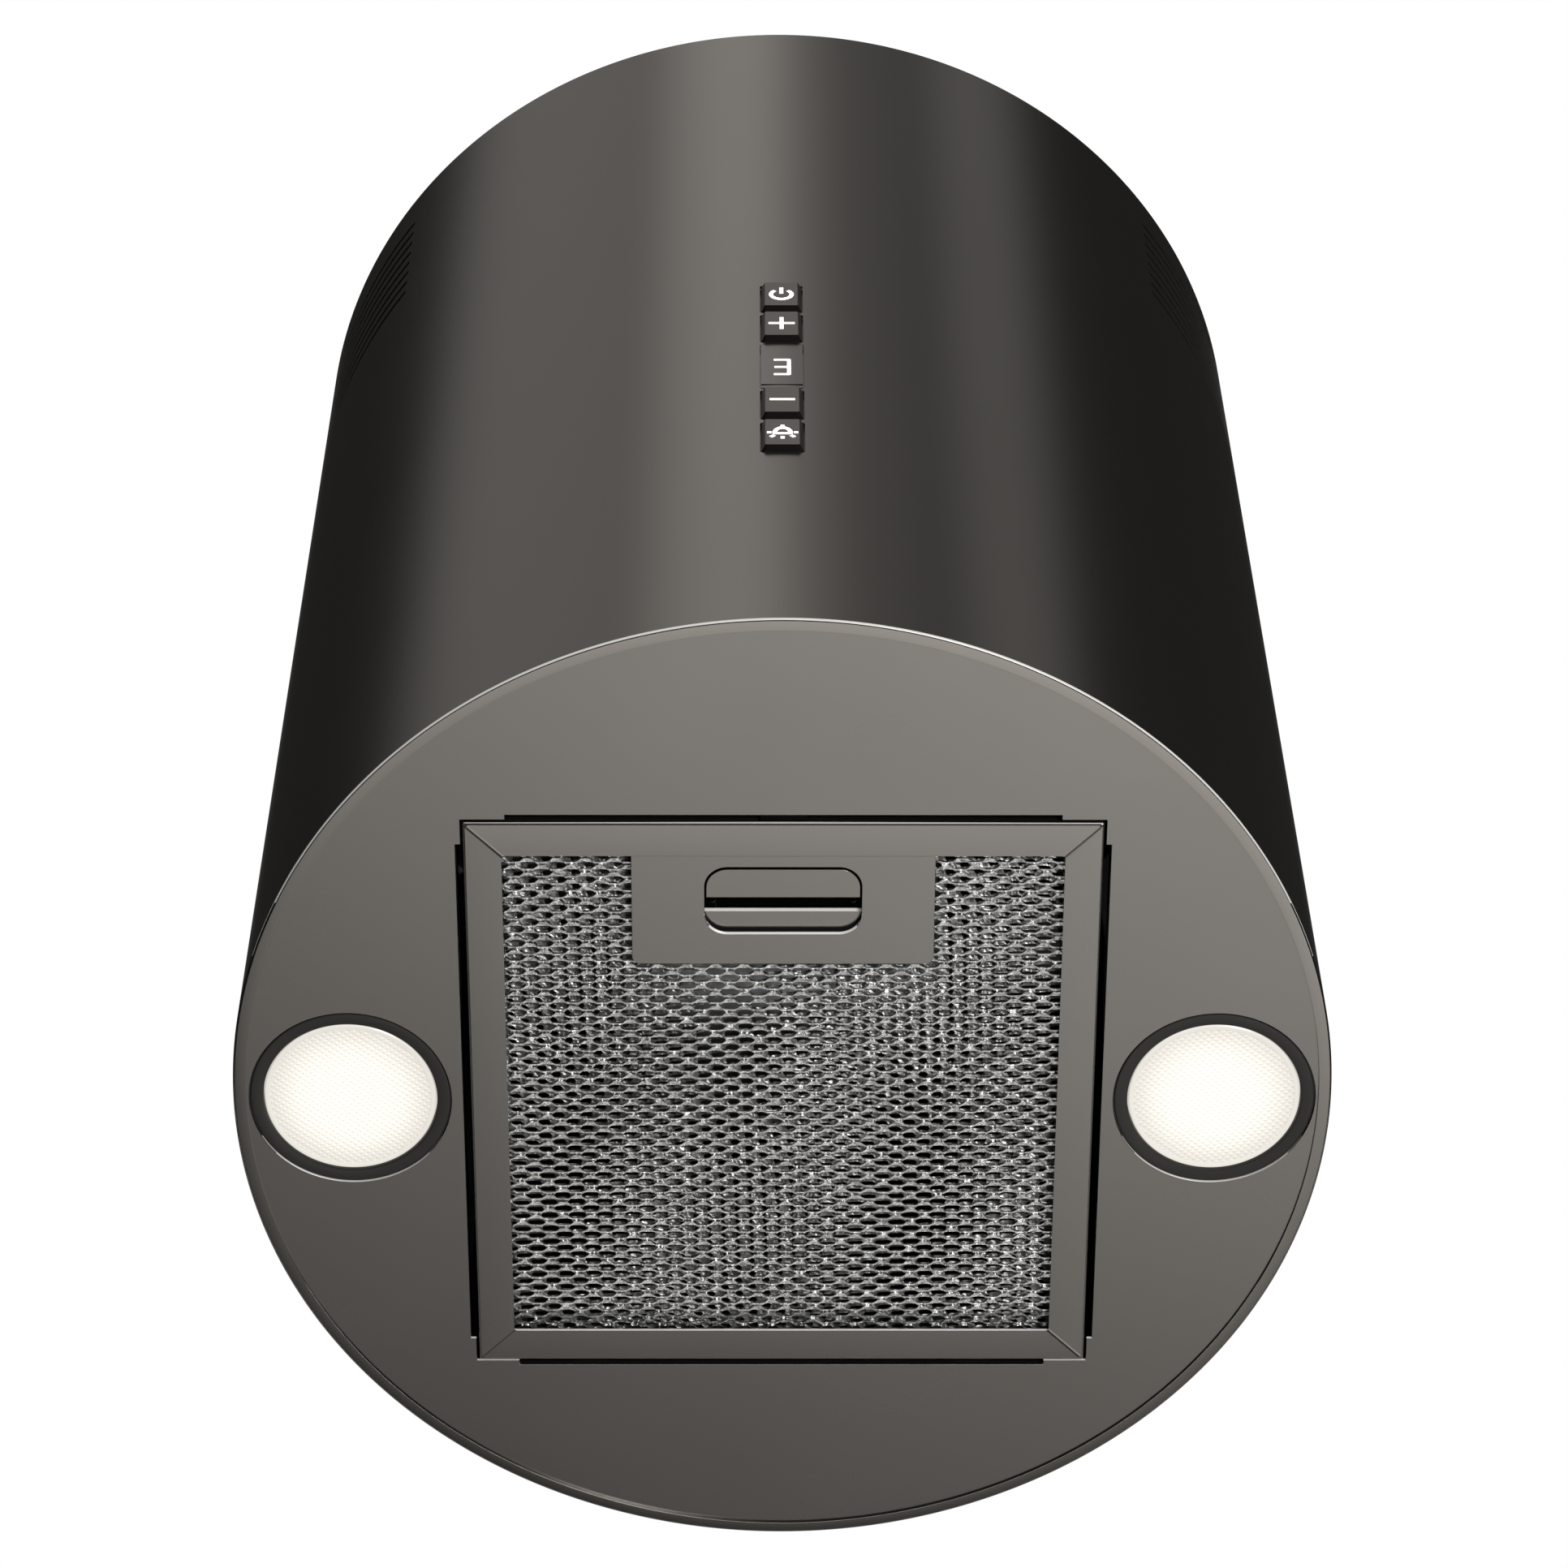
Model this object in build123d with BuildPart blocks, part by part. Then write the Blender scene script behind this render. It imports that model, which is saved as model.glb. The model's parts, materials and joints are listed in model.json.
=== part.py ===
from build123d import *
from build123d.topology import SkipClean
import math
import os

os.makedirs("parts", exist_ok=True)

# ---- overall frame: origin at the ceiling, +Z up, front of the hood towards -Y (mm) ----
TUBE_R = 195.0
TUBE_T = 1.0
TUBE_TOP_Z = -0.5
SEAM_ANGLE = 112.0
SPLIT_Z = -98.0
HEAD_Z = -21.2
VENT_BANDS = 4
FOOT_Z = -420.0
RIM_Z = -508.0
RIM_FLANGE_W = 4.5
PANEL_Z = RIM_Z + 1.0
PANEL_T = 1.0
SHEET_T = 1.5

# ---- vents ----
VENT_COUNT = 8
VENT_PITCH = 9.6
VENT_TOP_Z = -26.0
VENT_H = 3.0
VENT_HALF_ANGLE = 38.0

# ---- control column on the front of the tube ----
COLUMN_W = 15.5
BUTTON_H = 23.0
BUTTON_PROUD = 2.3
BUTTON_GAP = 0.3
BUTTON_Z = {"power": -258.0, "plus": -283.5, "minus": -347.0, "light": -373.0}
WINDOW_Z = -315.0
WINDOW_H = 36.0
STEM_R = 3.0

# ---- lamps ----
LAMP_X = 153.5
LAMP_HOLE_R = 36.0
LENS_R = 30.5

# ---- grease filter ----
FILTER_X = 221.0
FILTER_Y = 229.0
FILTER_H = 9.0
FILTER_FACE = 13.0
FILTER_T = 1.2
RELIEF_X = 192.0
RELIEF_Y = 211.0
RELIEF = 3.0
FOLD_H = 12.0
HANDLE_W = 105.4
HANDLE_Y0 = -101.3
HANDLE_Y1 = -57.2
GRIP_W = 54.7
GRIP_Y0 = -96.8
GRIP_Y1 = -69.9

# ---- frame rails ----
RAIL_W = 24.0
RAIL_D0 = 179.3
RAIL_D1 = 191.3
RAIL_BOTTOM_Z = -500.0
RING_R = 193.6
CEILING_T = 3.0
STUD_ANGLES = (24, 66, 114, 156, 204, 246, 294, 336)
STUD_PCR = 184.0

# ---- blower ----
SHELF_Z = -160.0
BLOWER_Y = 40.0
BLOWER_Z = -288.0
SCROLL_HALF_W = 59.2
SCROLL_T = 1.2
SCROLL_START_R = 77.0
SCROLL_END_R = 112.0
SCROLL_START_DEG = -40.0
SCROLL_END_DEG = 270.0
OUTLET_Y = -27.0
OUTLET_D = 90.0
IMPELLER_R = 70.0
BLADE_COUNT = 32
SHAFT_R = 4.0
MOTOR_R = 42.0

# ---- outlet collar and flaps ----
COLLAR_R = 74.5
COLLAR_T = 1.2
COLLAR_Z0 = -105.0
COLLAR_Z1 = -60.0
FLAP_Z = -92.0
FLAP_R = 72.7


def save(piece, name):
    """Label a finished piece and write it to its own file."""
    piece.label = name
    export_step(piece, f"parts/{name}.step")


def block(x0, x1, y0, y1, z0, z1, mode=Mode.ADD):
    """A box between two corners."""
    with Locations(((x0 + x1) / 2, (y0 + y1) / 2, (z0 + z1) / 2)):
        Box(abs(x1 - x0), abs(y1 - y0), abs(z1 - z0), mode=mode)


def upright(r, x, y, z0, z1, mode=Mode.ADD):
    """A vertical cylinder between two heights."""
    with Locations((x, y, (z0 + z1) / 2)):
        Cylinder(r, z1 - z0, mode=mode)


def along_y(r, x, z, y0, y1, mode=Mode.ADD):
    """A cylinder that lies along Y."""
    with Locations(Location((x, (y0 + y1) / 2, z), (90, 0, 0))):
        Cylinder(r, y1 - y0, mode=mode)


def along_x(r, y, z, x0, x1, mode=Mode.ADD):
    """A cylinder that lies along X."""
    with Locations(Location(((x0 + x1) / 2, y, z), (0, 90, 0))):
        Cylinder(r, x1 - x0, mode=mode)


def radial(r, angle, d0, d1, z, mode=Mode.ADD):
    """A cylinder that lies along a radius of the tube."""
    turn = Location((0, 0, 0), (0, 0, angle))
    with Locations(turn * Location(((d0 + d1) / 2, 0, z), (0, 90, 0))):
        Cylinder(r, d1 - d0, mode=mode)


def polar(r, angle):
    """A point at a radius and an angle in degrees."""
    return (r * math.cos(math.radians(angle)), r * math.sin(math.radians(angle)))


def wheel_plane(x):
    """A plane across the blower's axle: local x runs to +Y and local y to +Z."""
    return Plane(origin=(x, BLOWER_Y, BLOWER_Z), x_dir=(0, 1, 0), z_dir=(1, 0, 0))


# ---------------------------------------------------------------- shell


def seam_plane(z):
    """A level plane turned so that a tube drawn on it has its seam clear of every opening."""
    x, y = polar(1.0, SEAM_ANGLE)
    return Plane(origin=(0, 0, z), x_dir=(x, y, 0), z_dir=(0, 0, 1))


def tube_wall(z0, z1):
    """A plain length of the tube's wall, added to the part in hand."""
    with BuildSketch(seam_plane(z0)) as ring:
        Circle(TUBE_R)
        Circle(TUBE_R - TUBE_T, mode=Mode.SUBTRACT)
    extrude(ring.sketch, amount=z1 - z0)


def tube_vents(z0, z1):
    """A length of the tube with the vent slots that fall between two heights."""
    with BuildPart() as band:
        tube_wall(z0, z1)
        for row in range(VENT_COUNT):
            z = VENT_TOP_Z - row * VENT_PITCH
            if not z0 < z < z1:
                continue
            for side in (-1, 1):
                reach = side * (TUBE_R + 60)
                rise = abs(reach) * math.tan(math.radians(VENT_HALF_ANGLE))
                with BuildSketch(Plane.XY.offset(z - VENT_H / 2)) as slot:
                    with BuildLine():
                        Polyline((0, 0), (reach, rise), (reach, -rise), close=True)
                    make_face()
                    Circle(TUBE_R + 5, mode=Mode.INTERSECT)
                    Circle(TUBE_R - 5, mode=Mode.SUBTRACT)
                extrude(slot.sketch, amount=VENT_H, mode=Mode.SUBTRACT)
    return band.part


def tube_head():
    """The top length of the tube, with the holes for its screws."""
    with BuildPart() as band:
        tube_wall(HEAD_Z, TUBE_TOP_Z)
        for angle in (30, 90, 150):
            radial(2.3, angle, TUBE_R - 3, TUBE_R + 3, -12, Mode.SUBTRACT)
    return band.part


def tube_keys():
    """The middle length of the tube, with the openings of the control column and its standoffs."""
    with BuildPart() as band:
        tube_wall(FOOT_Z, SPLIT_Z)
        half = COLUMN_W / 2 + BUTTON_GAP
        for z in BUTTON_Z.values():
            h = BUTTON_H / 2 + BUTTON_GAP
            block(-half, half, -TUBE_R - 5, -TUBE_R + 8, z - h, z + h, Mode.SUBTRACT)
        h = WINDOW_H / 2 + 0.2
        block(-half, half, -TUBE_R - 5, -TUBE_R + 8, WINDOW_Z - h, WINDOW_Z + h, Mode.SUBTRACT)
        for x in (-27, 27):
            for z in (-246, -386):
                along_y(3.0, x, z, -TUBE_R + 2.4, -186.0)
                along_y(1.25, x, z, -191.5, -185.0, Mode.SUBTRACT)
    return band.part


def tube_foot():
    """The lowest length of the tube, with the rim turned inwards and a weld spot at the back."""
    with BuildPart() as band:
        tube_wall(RIM_Z, FOOT_Z)
        with BuildSketch(seam_plane(RIM_Z)):
            Circle(TUBE_R - TUBE_T / 2)
            Circle(TUBE_R - RIM_FLANGE_W, mode=Mode.SUBTRACT)
        extrude(amount=TUBE_T)
        with Locations((0, TUBE_R - RIM_FLANGE_W, RIM_Z + TUBE_T / 2)):
            Sphere(TUBE_T / 2 - 0.05)
    return band.part


def make_outer_tube():
    """One welded tube; its lengths keep their own faces, which keeps each face simple."""
    cuts = [SPLIT_Z + k * (HEAD_Z - SPLIT_Z) / VENT_BANDS for k in range(VENT_BANDS + 1)]
    bands = [tube_vents(low, high) for low, high in zip(cuts, cuts[1:])]
    with SkipClean():
        tube = tube_keys().fuse(tube_head(), tube_foot(), *bands)
    save(Part(tube.wrapped), "outer_tube")


def fold(x0, x1, y0, y1):
    block(x0, x1, y0, y1, PANEL_Z, PANEL_Z + FOLD_H)


def make_bottom_panel():
    open_x = FILTER_X / 2 + 1.0
    open_y = FILTER_Y / 2 + 1.0
    wide_x = FILTER_X / 2 + RELIEF
    wide_y = FILTER_Y / 2 + RELIEF
    with BuildPart() as panel:
        with BuildSketch(Plane.XY.offset(PANEL_Z)):
            Circle(RING_R)
            Rectangle(2 * open_x, 2 * open_y, mode=Mode.SUBTRACT)
            Rectangle(RELIEF_X, 2 * wide_y, mode=Mode.SUBTRACT)
            Rectangle(2 * wide_x, RELIEF_Y, mode=Mode.SUBTRACT)
            with Locations((-LAMP_X, 0), (LAMP_X, 0)):
                Circle(LAMP_HOLE_R, mode=Mode.SUBTRACT)
        extrude(amount=PANEL_T)
        # folded edges that stiffen the opening
        for side in (-1, 1):
            fold(side * wide_x, side * (wide_x + 1), -RELIEF_Y / 2, RELIEF_Y / 2)
            fold(-RELIEF_X / 2, RELIEF_X / 2, side * wide_y, side * (wide_y + 1))
        # notches for the filter's two rear tongues
        for x in (-70, 70):
            block(x - 9, x + 9, wide_y - 2, wide_y + 3, -500.6, PANEL_Z + FOLD_H + 1, Mode.SUBTRACT)
        # catch slot for the latch tongue
        block(-10, 10, -wide_y - 3, -wide_y + 2, -506.0, -502.8, Mode.SUBTRACT)
        # clearance for the studs' pressed collars
        for angle in STUD_ANGLES:
            x, y = polar(STUD_PCR, angle)
            upright(1.2, x, y, PANEL_Z + 0.4, PANEL_Z + 2, Mode.SUBTRACT)
    save(panel.part, "bottom_panel")


def make_panel_studs():
    with BuildPart() as studs:
        for angle in STUD_ANGLES:
            x, y = polar(STUD_PCR, angle)
            upright(1.2, x, y, PANEL_Z + 0.4, PANEL_Z + 1.2)
            upright(2.0, x, y, PANEL_Z + PANEL_T, -494.0)
    save(studs.part, "panel_studs")


def make_panel_nuts():
    with BuildPart() as nuts:
        for angle in STUD_ANGLES:
            x, y = polar(STUD_PCR, angle)
            with BuildSketch(Plane.XY.offset(-504.5)):
                with Locations((x, y)):
                    RegularPolygon(3.5, 6, major_radius=False)
                    Circle(2.05, mode=Mode.SUBTRACT)
            extrude(amount=3.2)
    save(nuts.part, "panel_nuts")


def make_lower_ring():
    with BuildPart() as ring:
        with BuildSketch(Plane.XY.offset(PANEL_Z + PANEL_T)):
            Circle(RING_R)
            Circle(176.0, mode=Mode.SUBTRACT)
        extrude(amount=SHEET_T)
        with BuildSketch(Plane.XY.offset(PANEL_Z + PANEL_T)):
            Circle(RING_R)
            Circle(RING_R - SHEET_T, mode=Mode.SUBTRACT)
        extrude(amount=20.0)
        for x in (-LAMP_X, LAMP_X):
            upright(38.3, x, 0, -507, -484, Mode.SUBTRACT)
        for angle in STUD_ANGLES:
            x, y = polar(STUD_PCR, angle)
            upright(2.3, x, y, -508, -503, Mode.SUBTRACT)
        for angle in (45, 135, 225, 315):
            radial(2.0, angle, 188, 196, -494, Mode.SUBTRACT)
    save(ring.part, "lower_ring")


def make_rail(angle, name):
    """A channel from the ceiling plate to the lower ring, with a foot under the plate."""
    web = RAIL_D1 - SHEET_T
    plane = Plane(origin=(0, 0, RAIL_BOTTOM_Z), x_dir=(*polar(1, angle), 0), z_dir=(0, 0, 1))
    with BuildPart() as rail:
        with BuildSketch(plane):
            with Locations(((RAIL_D0 + RAIL_D1) / 2, 0)):
                Rectangle(RAIL_D1 - RAIL_D0, RAIL_W)
            with Locations(((RAIL_D0 + web) / 2 - 1, 0)):
                Rectangle(web - RAIL_D0 + 2, RAIL_W - 2 * SHEET_T, mode=Mode.SUBTRACT)
        extrude(amount=-CEILING_T - RAIL_BOTTOM_Z)
        foot = plane.offset(-CEILING_T - SHEET_T - RAIL_BOTTOM_Z)
        with BuildSketch(foot):
            with Locations(((165 + RAIL_D1) / 2, 0)):
                Rectangle(RAIL_D1 - 165, RAIL_W)
        extrude(amount=SHEET_T)
        x, y = polar(171.0, angle)
        upright(2.2, x, y, -6, -1, Mode.SUBTRACT)
        radial(2.2, angle, 186, 194, -494, Mode.SUBTRACT)
        radial(2.0, angle, 186, 194, -170, Mode.SUBTRACT)
    save(rail.part, name)


def make_ceiling_plate():
    with BuildPart() as plate:
        with BuildSketch(Plane.XY.offset(-CEILING_T)):
            Circle(193.4)
            Circle(95.0, mode=Mode.SUBTRACT)
            with PolarLocations(125.0, 4):
                Circle(4.5, mode=Mode.SUBTRACT)
            with PolarLocations(171.0, 4, start_angle=45):
                Circle(2.0, mode=Mode.SUBTRACT)
            with Locations((118, 92)):
                Circle(10.0, mode=Mode.SUBTRACT)
        extrude(amount=CEILING_T)
        with BuildSketch(Plane.XY.offset(-22)):
            Circle(193.4)
            Circle(191.9, mode=Mode.SUBTRACT)
        extrude(amount=20)
        for angle in (30, 90, 150):
            radial(1.95, angle, 188, 196, -12, Mode.SUBTRACT)
    save(plate.part, "ceiling_plate")


def make_frame_screws():
    with BuildPart() as screws:
        for angle in (45, 135, 225, 315):
            x, y = polar(171.0, angle)
            upright(3.6, x, y, -7.0, -4.5)
            upright(1.95, x, y, -4.6, -0.4)
            radial(3.6, angle, 187.4, 189.8, -494)
            radial(1.95, angle, 189.7, 193.5, -494)
            radial(3.6, angle, 185.7, 188.1, -170)
            radial(1.95, angle, 188.0, 191.2, -170)
    save(screws.part, "frame_screws")


def make_tube_screws():
    with BuildPart() as screws:
        for angle in (30, 90, 150):
            radial(3.8, angle, TUBE_R, TUBE_R + 1.4, -12)
            radial(1.9, angle, 189.0, TUBE_R + 0.1, -12)
    save(screws.part, "tube_screws")


# ---------------------------------------------------------------- blower


def make_blower_shelf():
    with BuildPart() as shelf:
        with BuildSketch(Plane.XY.offset(SHELF_Z)):
            Circle(178.0)
            with PolarLocations(182.0, 4, start_angle=45):
                Rectangle(15.2, 20)
            with Locations((0, OUTLET_Y)):
                Rectangle(2 * SCROLL_HALF_W - 2 * SCROLL_T, OUTLET_D - 2 * SCROLL_T, mode=Mode.SUBTRACT)
            with Locations((150, 0), (-150, 0), (-88, 80), (17, -158)):
                Circle(4.5, mode=Mode.SUBTRACT)
            with Locations((0, OUTLET_Y)):
                with GridLocations(128, 90, 2, 2):
                    Circle(1.25, mode=Mode.SUBTRACT)
        extrude(amount=SHEET_T)
        for angle in (45, 135, 225, 315):
            tab = Plane(origin=(0, 0, SHELF_Z - 20), x_dir=(*polar(1, angle), 0), z_dir=(0, 0, 1))
            with BuildSketch(tab):
                with Locations((188.85, 0)):
                    Rectangle(SHEET_T, 20)
            extrude(amount=20 + SHEET_T)
            radial(2.2, angle, 186, 191, -170, Mode.SUBTRACT)
    save(shelf.part, "blower_shelf")


def spiral_points(grow):
    """Points on the scroll's wall, pushed out by grow, in the wheel plane."""
    points = []
    steps = 14
    for i in range(steps + 1):
        t = i / steps
        angle = math.radians(SCROLL_START_DEG + t * (SCROLL_END_DEG - SCROLL_START_DEG))
        r = SCROLL_START_R + t * (SCROLL_END_R - SCROLL_START_R) + grow
        points.append((r * math.sin(angle), r * math.cos(angle)))
    return points


def scroll_outline(grow):
    """The closed outline of the scroll and its outlet neck."""
    top = SHELF_Z - BLOWER_Z
    front = -SCROLL_END_R - grow
    back = front + OUTLET_D + 2 * grow - 2 * SCROLL_T + SCROLL_T
    points = spiral_points(grow)
    with BuildLine() as line:
        Spline(*points)
        Polyline(points[-1], (front, top), (back, top), points[0])
    return line


def scroll_half(side):
    """One half of the scroll housing; side is -1 for left and 1 for right."""
    x0 = 0.15 * side
    depth = side * (SCROLL_HALF_W - 0.15)
    with BuildPart() as half:
        with BuildSketch(wheel_plane(x0)):
            with BuildLine():
                add(scroll_outline(SCROLL_T).line)
            make_face()
        extrude(amount=depth)
        # outlet flange below the shelf
        block(x0, side * 70, OUTLET_Y - 56, OUTLET_Y + 56, SHELF_Z - SCROLL_T, SHELF_Z)
        # lugs for the joint screws
        for phi in (25, 115, 205):
            t = (phi - SCROLL_START_DEG) / (SCROLL_END_DEG - SCROLL_START_DEG)
            r = SCROLL_START_R + t * (SCROLL_END_R - SCROLL_START_R) + SCROLL_T + 3.4
            y = BLOWER_Y + r * math.sin(math.radians(phi))
            z = BLOWER_Z + r * math.cos(math.radians(phi))
            along_x(4.5, y, z, min(x0, side * 10), max(x0, side * 10))
            along_x(1.27, y, z, -20, 20, Mode.SUBTRACT)
        with BuildSketch(wheel_plane(x0 - side)):
            with BuildLine():
                add(scroll_outline(0).line)
            make_face()
        extrude(amount=side * (SCROLL_HALF_W - SCROLL_T - 0.15 + 1), mode=Mode.SUBTRACT)
        # outlet mouth, inlet hole and its lip
        inner = SCROLL_HALF_W - SCROLL_T
        block(x0, side * inner, OUTLET_Y - 43.8, OUTLET_Y + 43.8, SHELF_Z - 6, SHELF_Z + 1, Mode.SUBTRACT)
        along_x(61.2, BLOWER_Y, BLOWER_Z, min(side * 53, side * 59), max(side * 53, side * 59))
        along_x(60.0, BLOWER_Y, BLOWER_Z, min(side * 50, side * 65), max(side * 50, side * 65), Mode.SUBTRACT)
        with Locations((0, OUTLET_Y, SHELF_Z)):
            with GridLocations(128, 90, 2, 2):
                Cylinder(1.3, 10, mode=Mode.SUBTRACT)
        if side < 0:
            for angle in (30, 150, 270):
                y, z = polar(70, angle)
                along_x(1.25, BLOWER_Y + y, BLOWER_Z + z, -62, -56, Mode.SUBTRACT)
    return half.part


def make_scroll_halves():
    save(scroll_half(-1), "scroll_left")
    save(scroll_half(1), "scroll_right")


def make_impeller():
    blade_curve = CenterArc((-2, 8.0), 10, -125, 80)
    with BuildPart() as wheel:
        with BuildSketch(wheel_plane(-0.75)):
            Circle(IMPELLER_R)
            Circle(SHAFT_R, mode=Mode.SUBTRACT)
            with PolarLocations(30, 6):
                Circle(5, mode=Mode.SUBTRACT)
        extrude(amount=1.5)
        with BuildSketch(wheel_plane(-50)):
            with PolarLocations(63.2, BLADE_COUNT):
                SlotArc(blade_curve, 0.9)
        extrude(amount=100)
        for x in (-51.5, 50):
            with BuildSketch(wheel_plane(x)):
                Circle(IMPELLER_R)
                Circle(62.5, mode=Mode.SUBTRACT)
            extrude(amount=1.5)
        with BuildSketch(wheel_plane(-7.5)):
            Circle(10)
            Circle(SHAFT_R, mode=Mode.SUBTRACT)
        extrude(amount=20)
    save(wheel.part, "impeller")


def make_motor_shaft():
    with BuildPart() as shaft:
        with BuildSketch(wheel_plane(-57)):
            Circle(SHAFT_R)
        extrude(amount=70.5)
        chamfer(shaft.edges().filter_by(GeomType.CIRCLE), 0.5)
    save(shaft.part, "motor_shaft")


def make_motor_rotor():
    with BuildPart() as rotor:
        with BuildSketch(wheel_plane(-45)):
            Circle(23.5)
            Circle(SHAFT_R, mode=Mode.SUBTRACT)
        extrude(amount=22)
    save(rotor.part, "motor_rotor")


def make_motor_stator():
    with BuildPart() as stator:
        with BuildSketch(wheel_plane(-44)):
            Circle(40.3)
            Circle(24.2, mode=Mode.SUBTRACT)
            with PolarLocations(29.5, 12):
                SlotOverall(9, 3.6, mode=Mode.SUBTRACT)
        extrude(amount=20)
    save(stator.part, "motor_stator")


def make_motor_windings():
    with BuildPart() as windings:
        for x in (-49.5, -23.7):
            with BuildSketch(wheel_plane(x)):
                Circle(37.5)
                Circle(26.0, mode=Mode.SUBTRACT)
            extrude(amount=5.2)
        fillet(windings.edges().filter_by(GeomType.CIRCLE), 1.5)
    save(windings.part, "motor_windings")


def motor_cap(end, join):
    """A pressed cup from its closed end face to the join between the two cups."""
    way = 1 if join > end else -1
    with BuildPart() as cap:
        with BuildSketch(wheel_plane(end)):
            Circle(MOTOR_R)
        extrude(amount=join - end)
        fillet(cap.edges().filter_by(GeomType.CIRCLE).sort_by(Axis.X)[0 if way > 0 else -1], 4)
        with BuildSketch(wheel_plane(end + 2 * way)):
            Circle(MOTOR_R - 1.5)
        extrude(amount=join - end - way, mode=Mode.SUBTRACT)
        with BuildSketch(wheel_plane(end + way)):
            Circle(10)
        extrude(amount=6 * way)
        with BuildSketch(wheel_plane(end + way)):
            Circle(8)
        extrude(amount=7 * way, mode=Mode.SUBTRACT)
        with BuildSketch(wheel_plane(end - way)):
            Circle(4.8)
        extrude(amount=9 * way, mode=Mode.SUBTRACT)
        if way > 0:
            for angle in (30, 150, 270):
                y, z = polar(24, angle)
                along_x(1.25, BLOWER_Y + y, BLOWER_Z + z, end - 1, end + 4, Mode.SUBTRACT)
    return cap.part


def make_motor_caps():
    save(motor_cap(-58.0, -34.1), "motor_cap_left")
    save(motor_cap(-10.0, -33.9), "motor_cap_right")


def make_motor_bearings():
    with BuildPart() as bearings:
        for x in (-57, -16):
            with BuildSketch(wheel_plane(x)):
                Circle(8)
                Circle(SHAFT_R + 0.05, mode=Mode.SUBTRACT)
            extrude(amount=5)
    save(bearings.part, "motor_bearings")


def make_motor_bracket():
    with BuildPart() as bracket:
        with BuildSketch(wheel_plane(-60.7)):
            Circle(76)
            Circle(63.5, mode=Mode.SUBTRACT)
            with PolarLocations(48, 3, start_angle=30):
                Rectangle(36, 16)
            Circle(32)
            Circle(7, mode=Mode.SUBTRACT)
            with PolarLocations(24, 3, start_angle=30):
                Circle(4, mode=Mode.SUBTRACT)
            with PolarLocations(70, 3, start_angle=30):
                Circle(1.7, mode=Mode.SUBTRACT)
        extrude(amount=1.5)
    save(bracket.part, "motor_bracket")


def make_motor_bushes():
    with BuildPart() as bushes:
        for angle in (30, 150, 270):
            y, z = polar(24, angle)
            along_x(7, BLOWER_Y + y, BLOWER_Z + z, -59.2, -58.0)
            along_x(3.95, BLOWER_Y + y, BLOWER_Z + z, -60.8, -59.1)
            along_x(7, BLOWER_Y + y, BLOWER_Z + z, -62.2, -60.7)
            along_x(1.6, BLOWER_Y + y, BLOWER_Z + z, -63, -57, Mode.SUBTRACT)
    save(bushes.part, "motor_bushes")


def make_small_screws():
    """The small pan-head screws of the blower, box and control carrier."""
    with BuildPart() as screws:
        for angle in (30, 150, 270):
            y, z = polar(70, angle)
            along_x(2.8, BLOWER_Y + y, BLOWER_Z + z, -62.6, -60.7)
            along_x(1.22, BLOWER_Y + y, BLOWER_Z + z, -60.8, -58.1)
            y, z = polar(24, angle)
            along_x(2.8, BLOWER_Y + y, BLOWER_Z + z, -64.1, -62.2)
            along_x(1.22, BLOWER_Y + y, BLOWER_Z + z, -62.3, -54.5)
        for phi in (25, 115, 205):
            t = (phi - SCROLL_START_DEG) / (SCROLL_END_DEG - SCROLL_START_DEG)
            r = SCROLL_START_R + t * (SCROLL_END_R - SCROLL_START_R) + SCROLL_T + 3.4
            y = BLOWER_Y + r * math.sin(math.radians(phi))
            z = BLOWER_Z + r * math.cos(math.radians(phi))
            along_x(2.8, y, z, 10, 11.9)
            along_x(1.22, y, z, -9, 10.1)
        with Locations((0, OUTLET_Y)):
            with GridLocations(128, 90, 2, 2):
                with Locations((0, 0, SHELF_Z - SCROLL_T - 0.95)):
                    Cylinder(2.8, 1.9)
                with Locations((0, 0, SHELF_Z + 0.75)):
                    Cylinder(1.22, 4.2)
        for x in (-55, 55):
            for y in (103, 155):
                upright(2.8, x, y, -110.6, -108.7)
                upright(1.22, x, y, -116, -110.5)
        for x in (-27, 27):
            for z in (-246, -386):
                along_y(2.8, x, z, -184.0, -182.1)
                along_y(1.22, x, z, -190.5, -183.9)
        for x in (-17, 17):
            for z in (-240, -391):
                along_y(2.8, x, z, -174.4, -172.5)
                along_y(1.22, x, z, -181.0, -174.3)
    save(screws.part, "small_screws")


# ---------------------------------------------------------------- outlet


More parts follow.
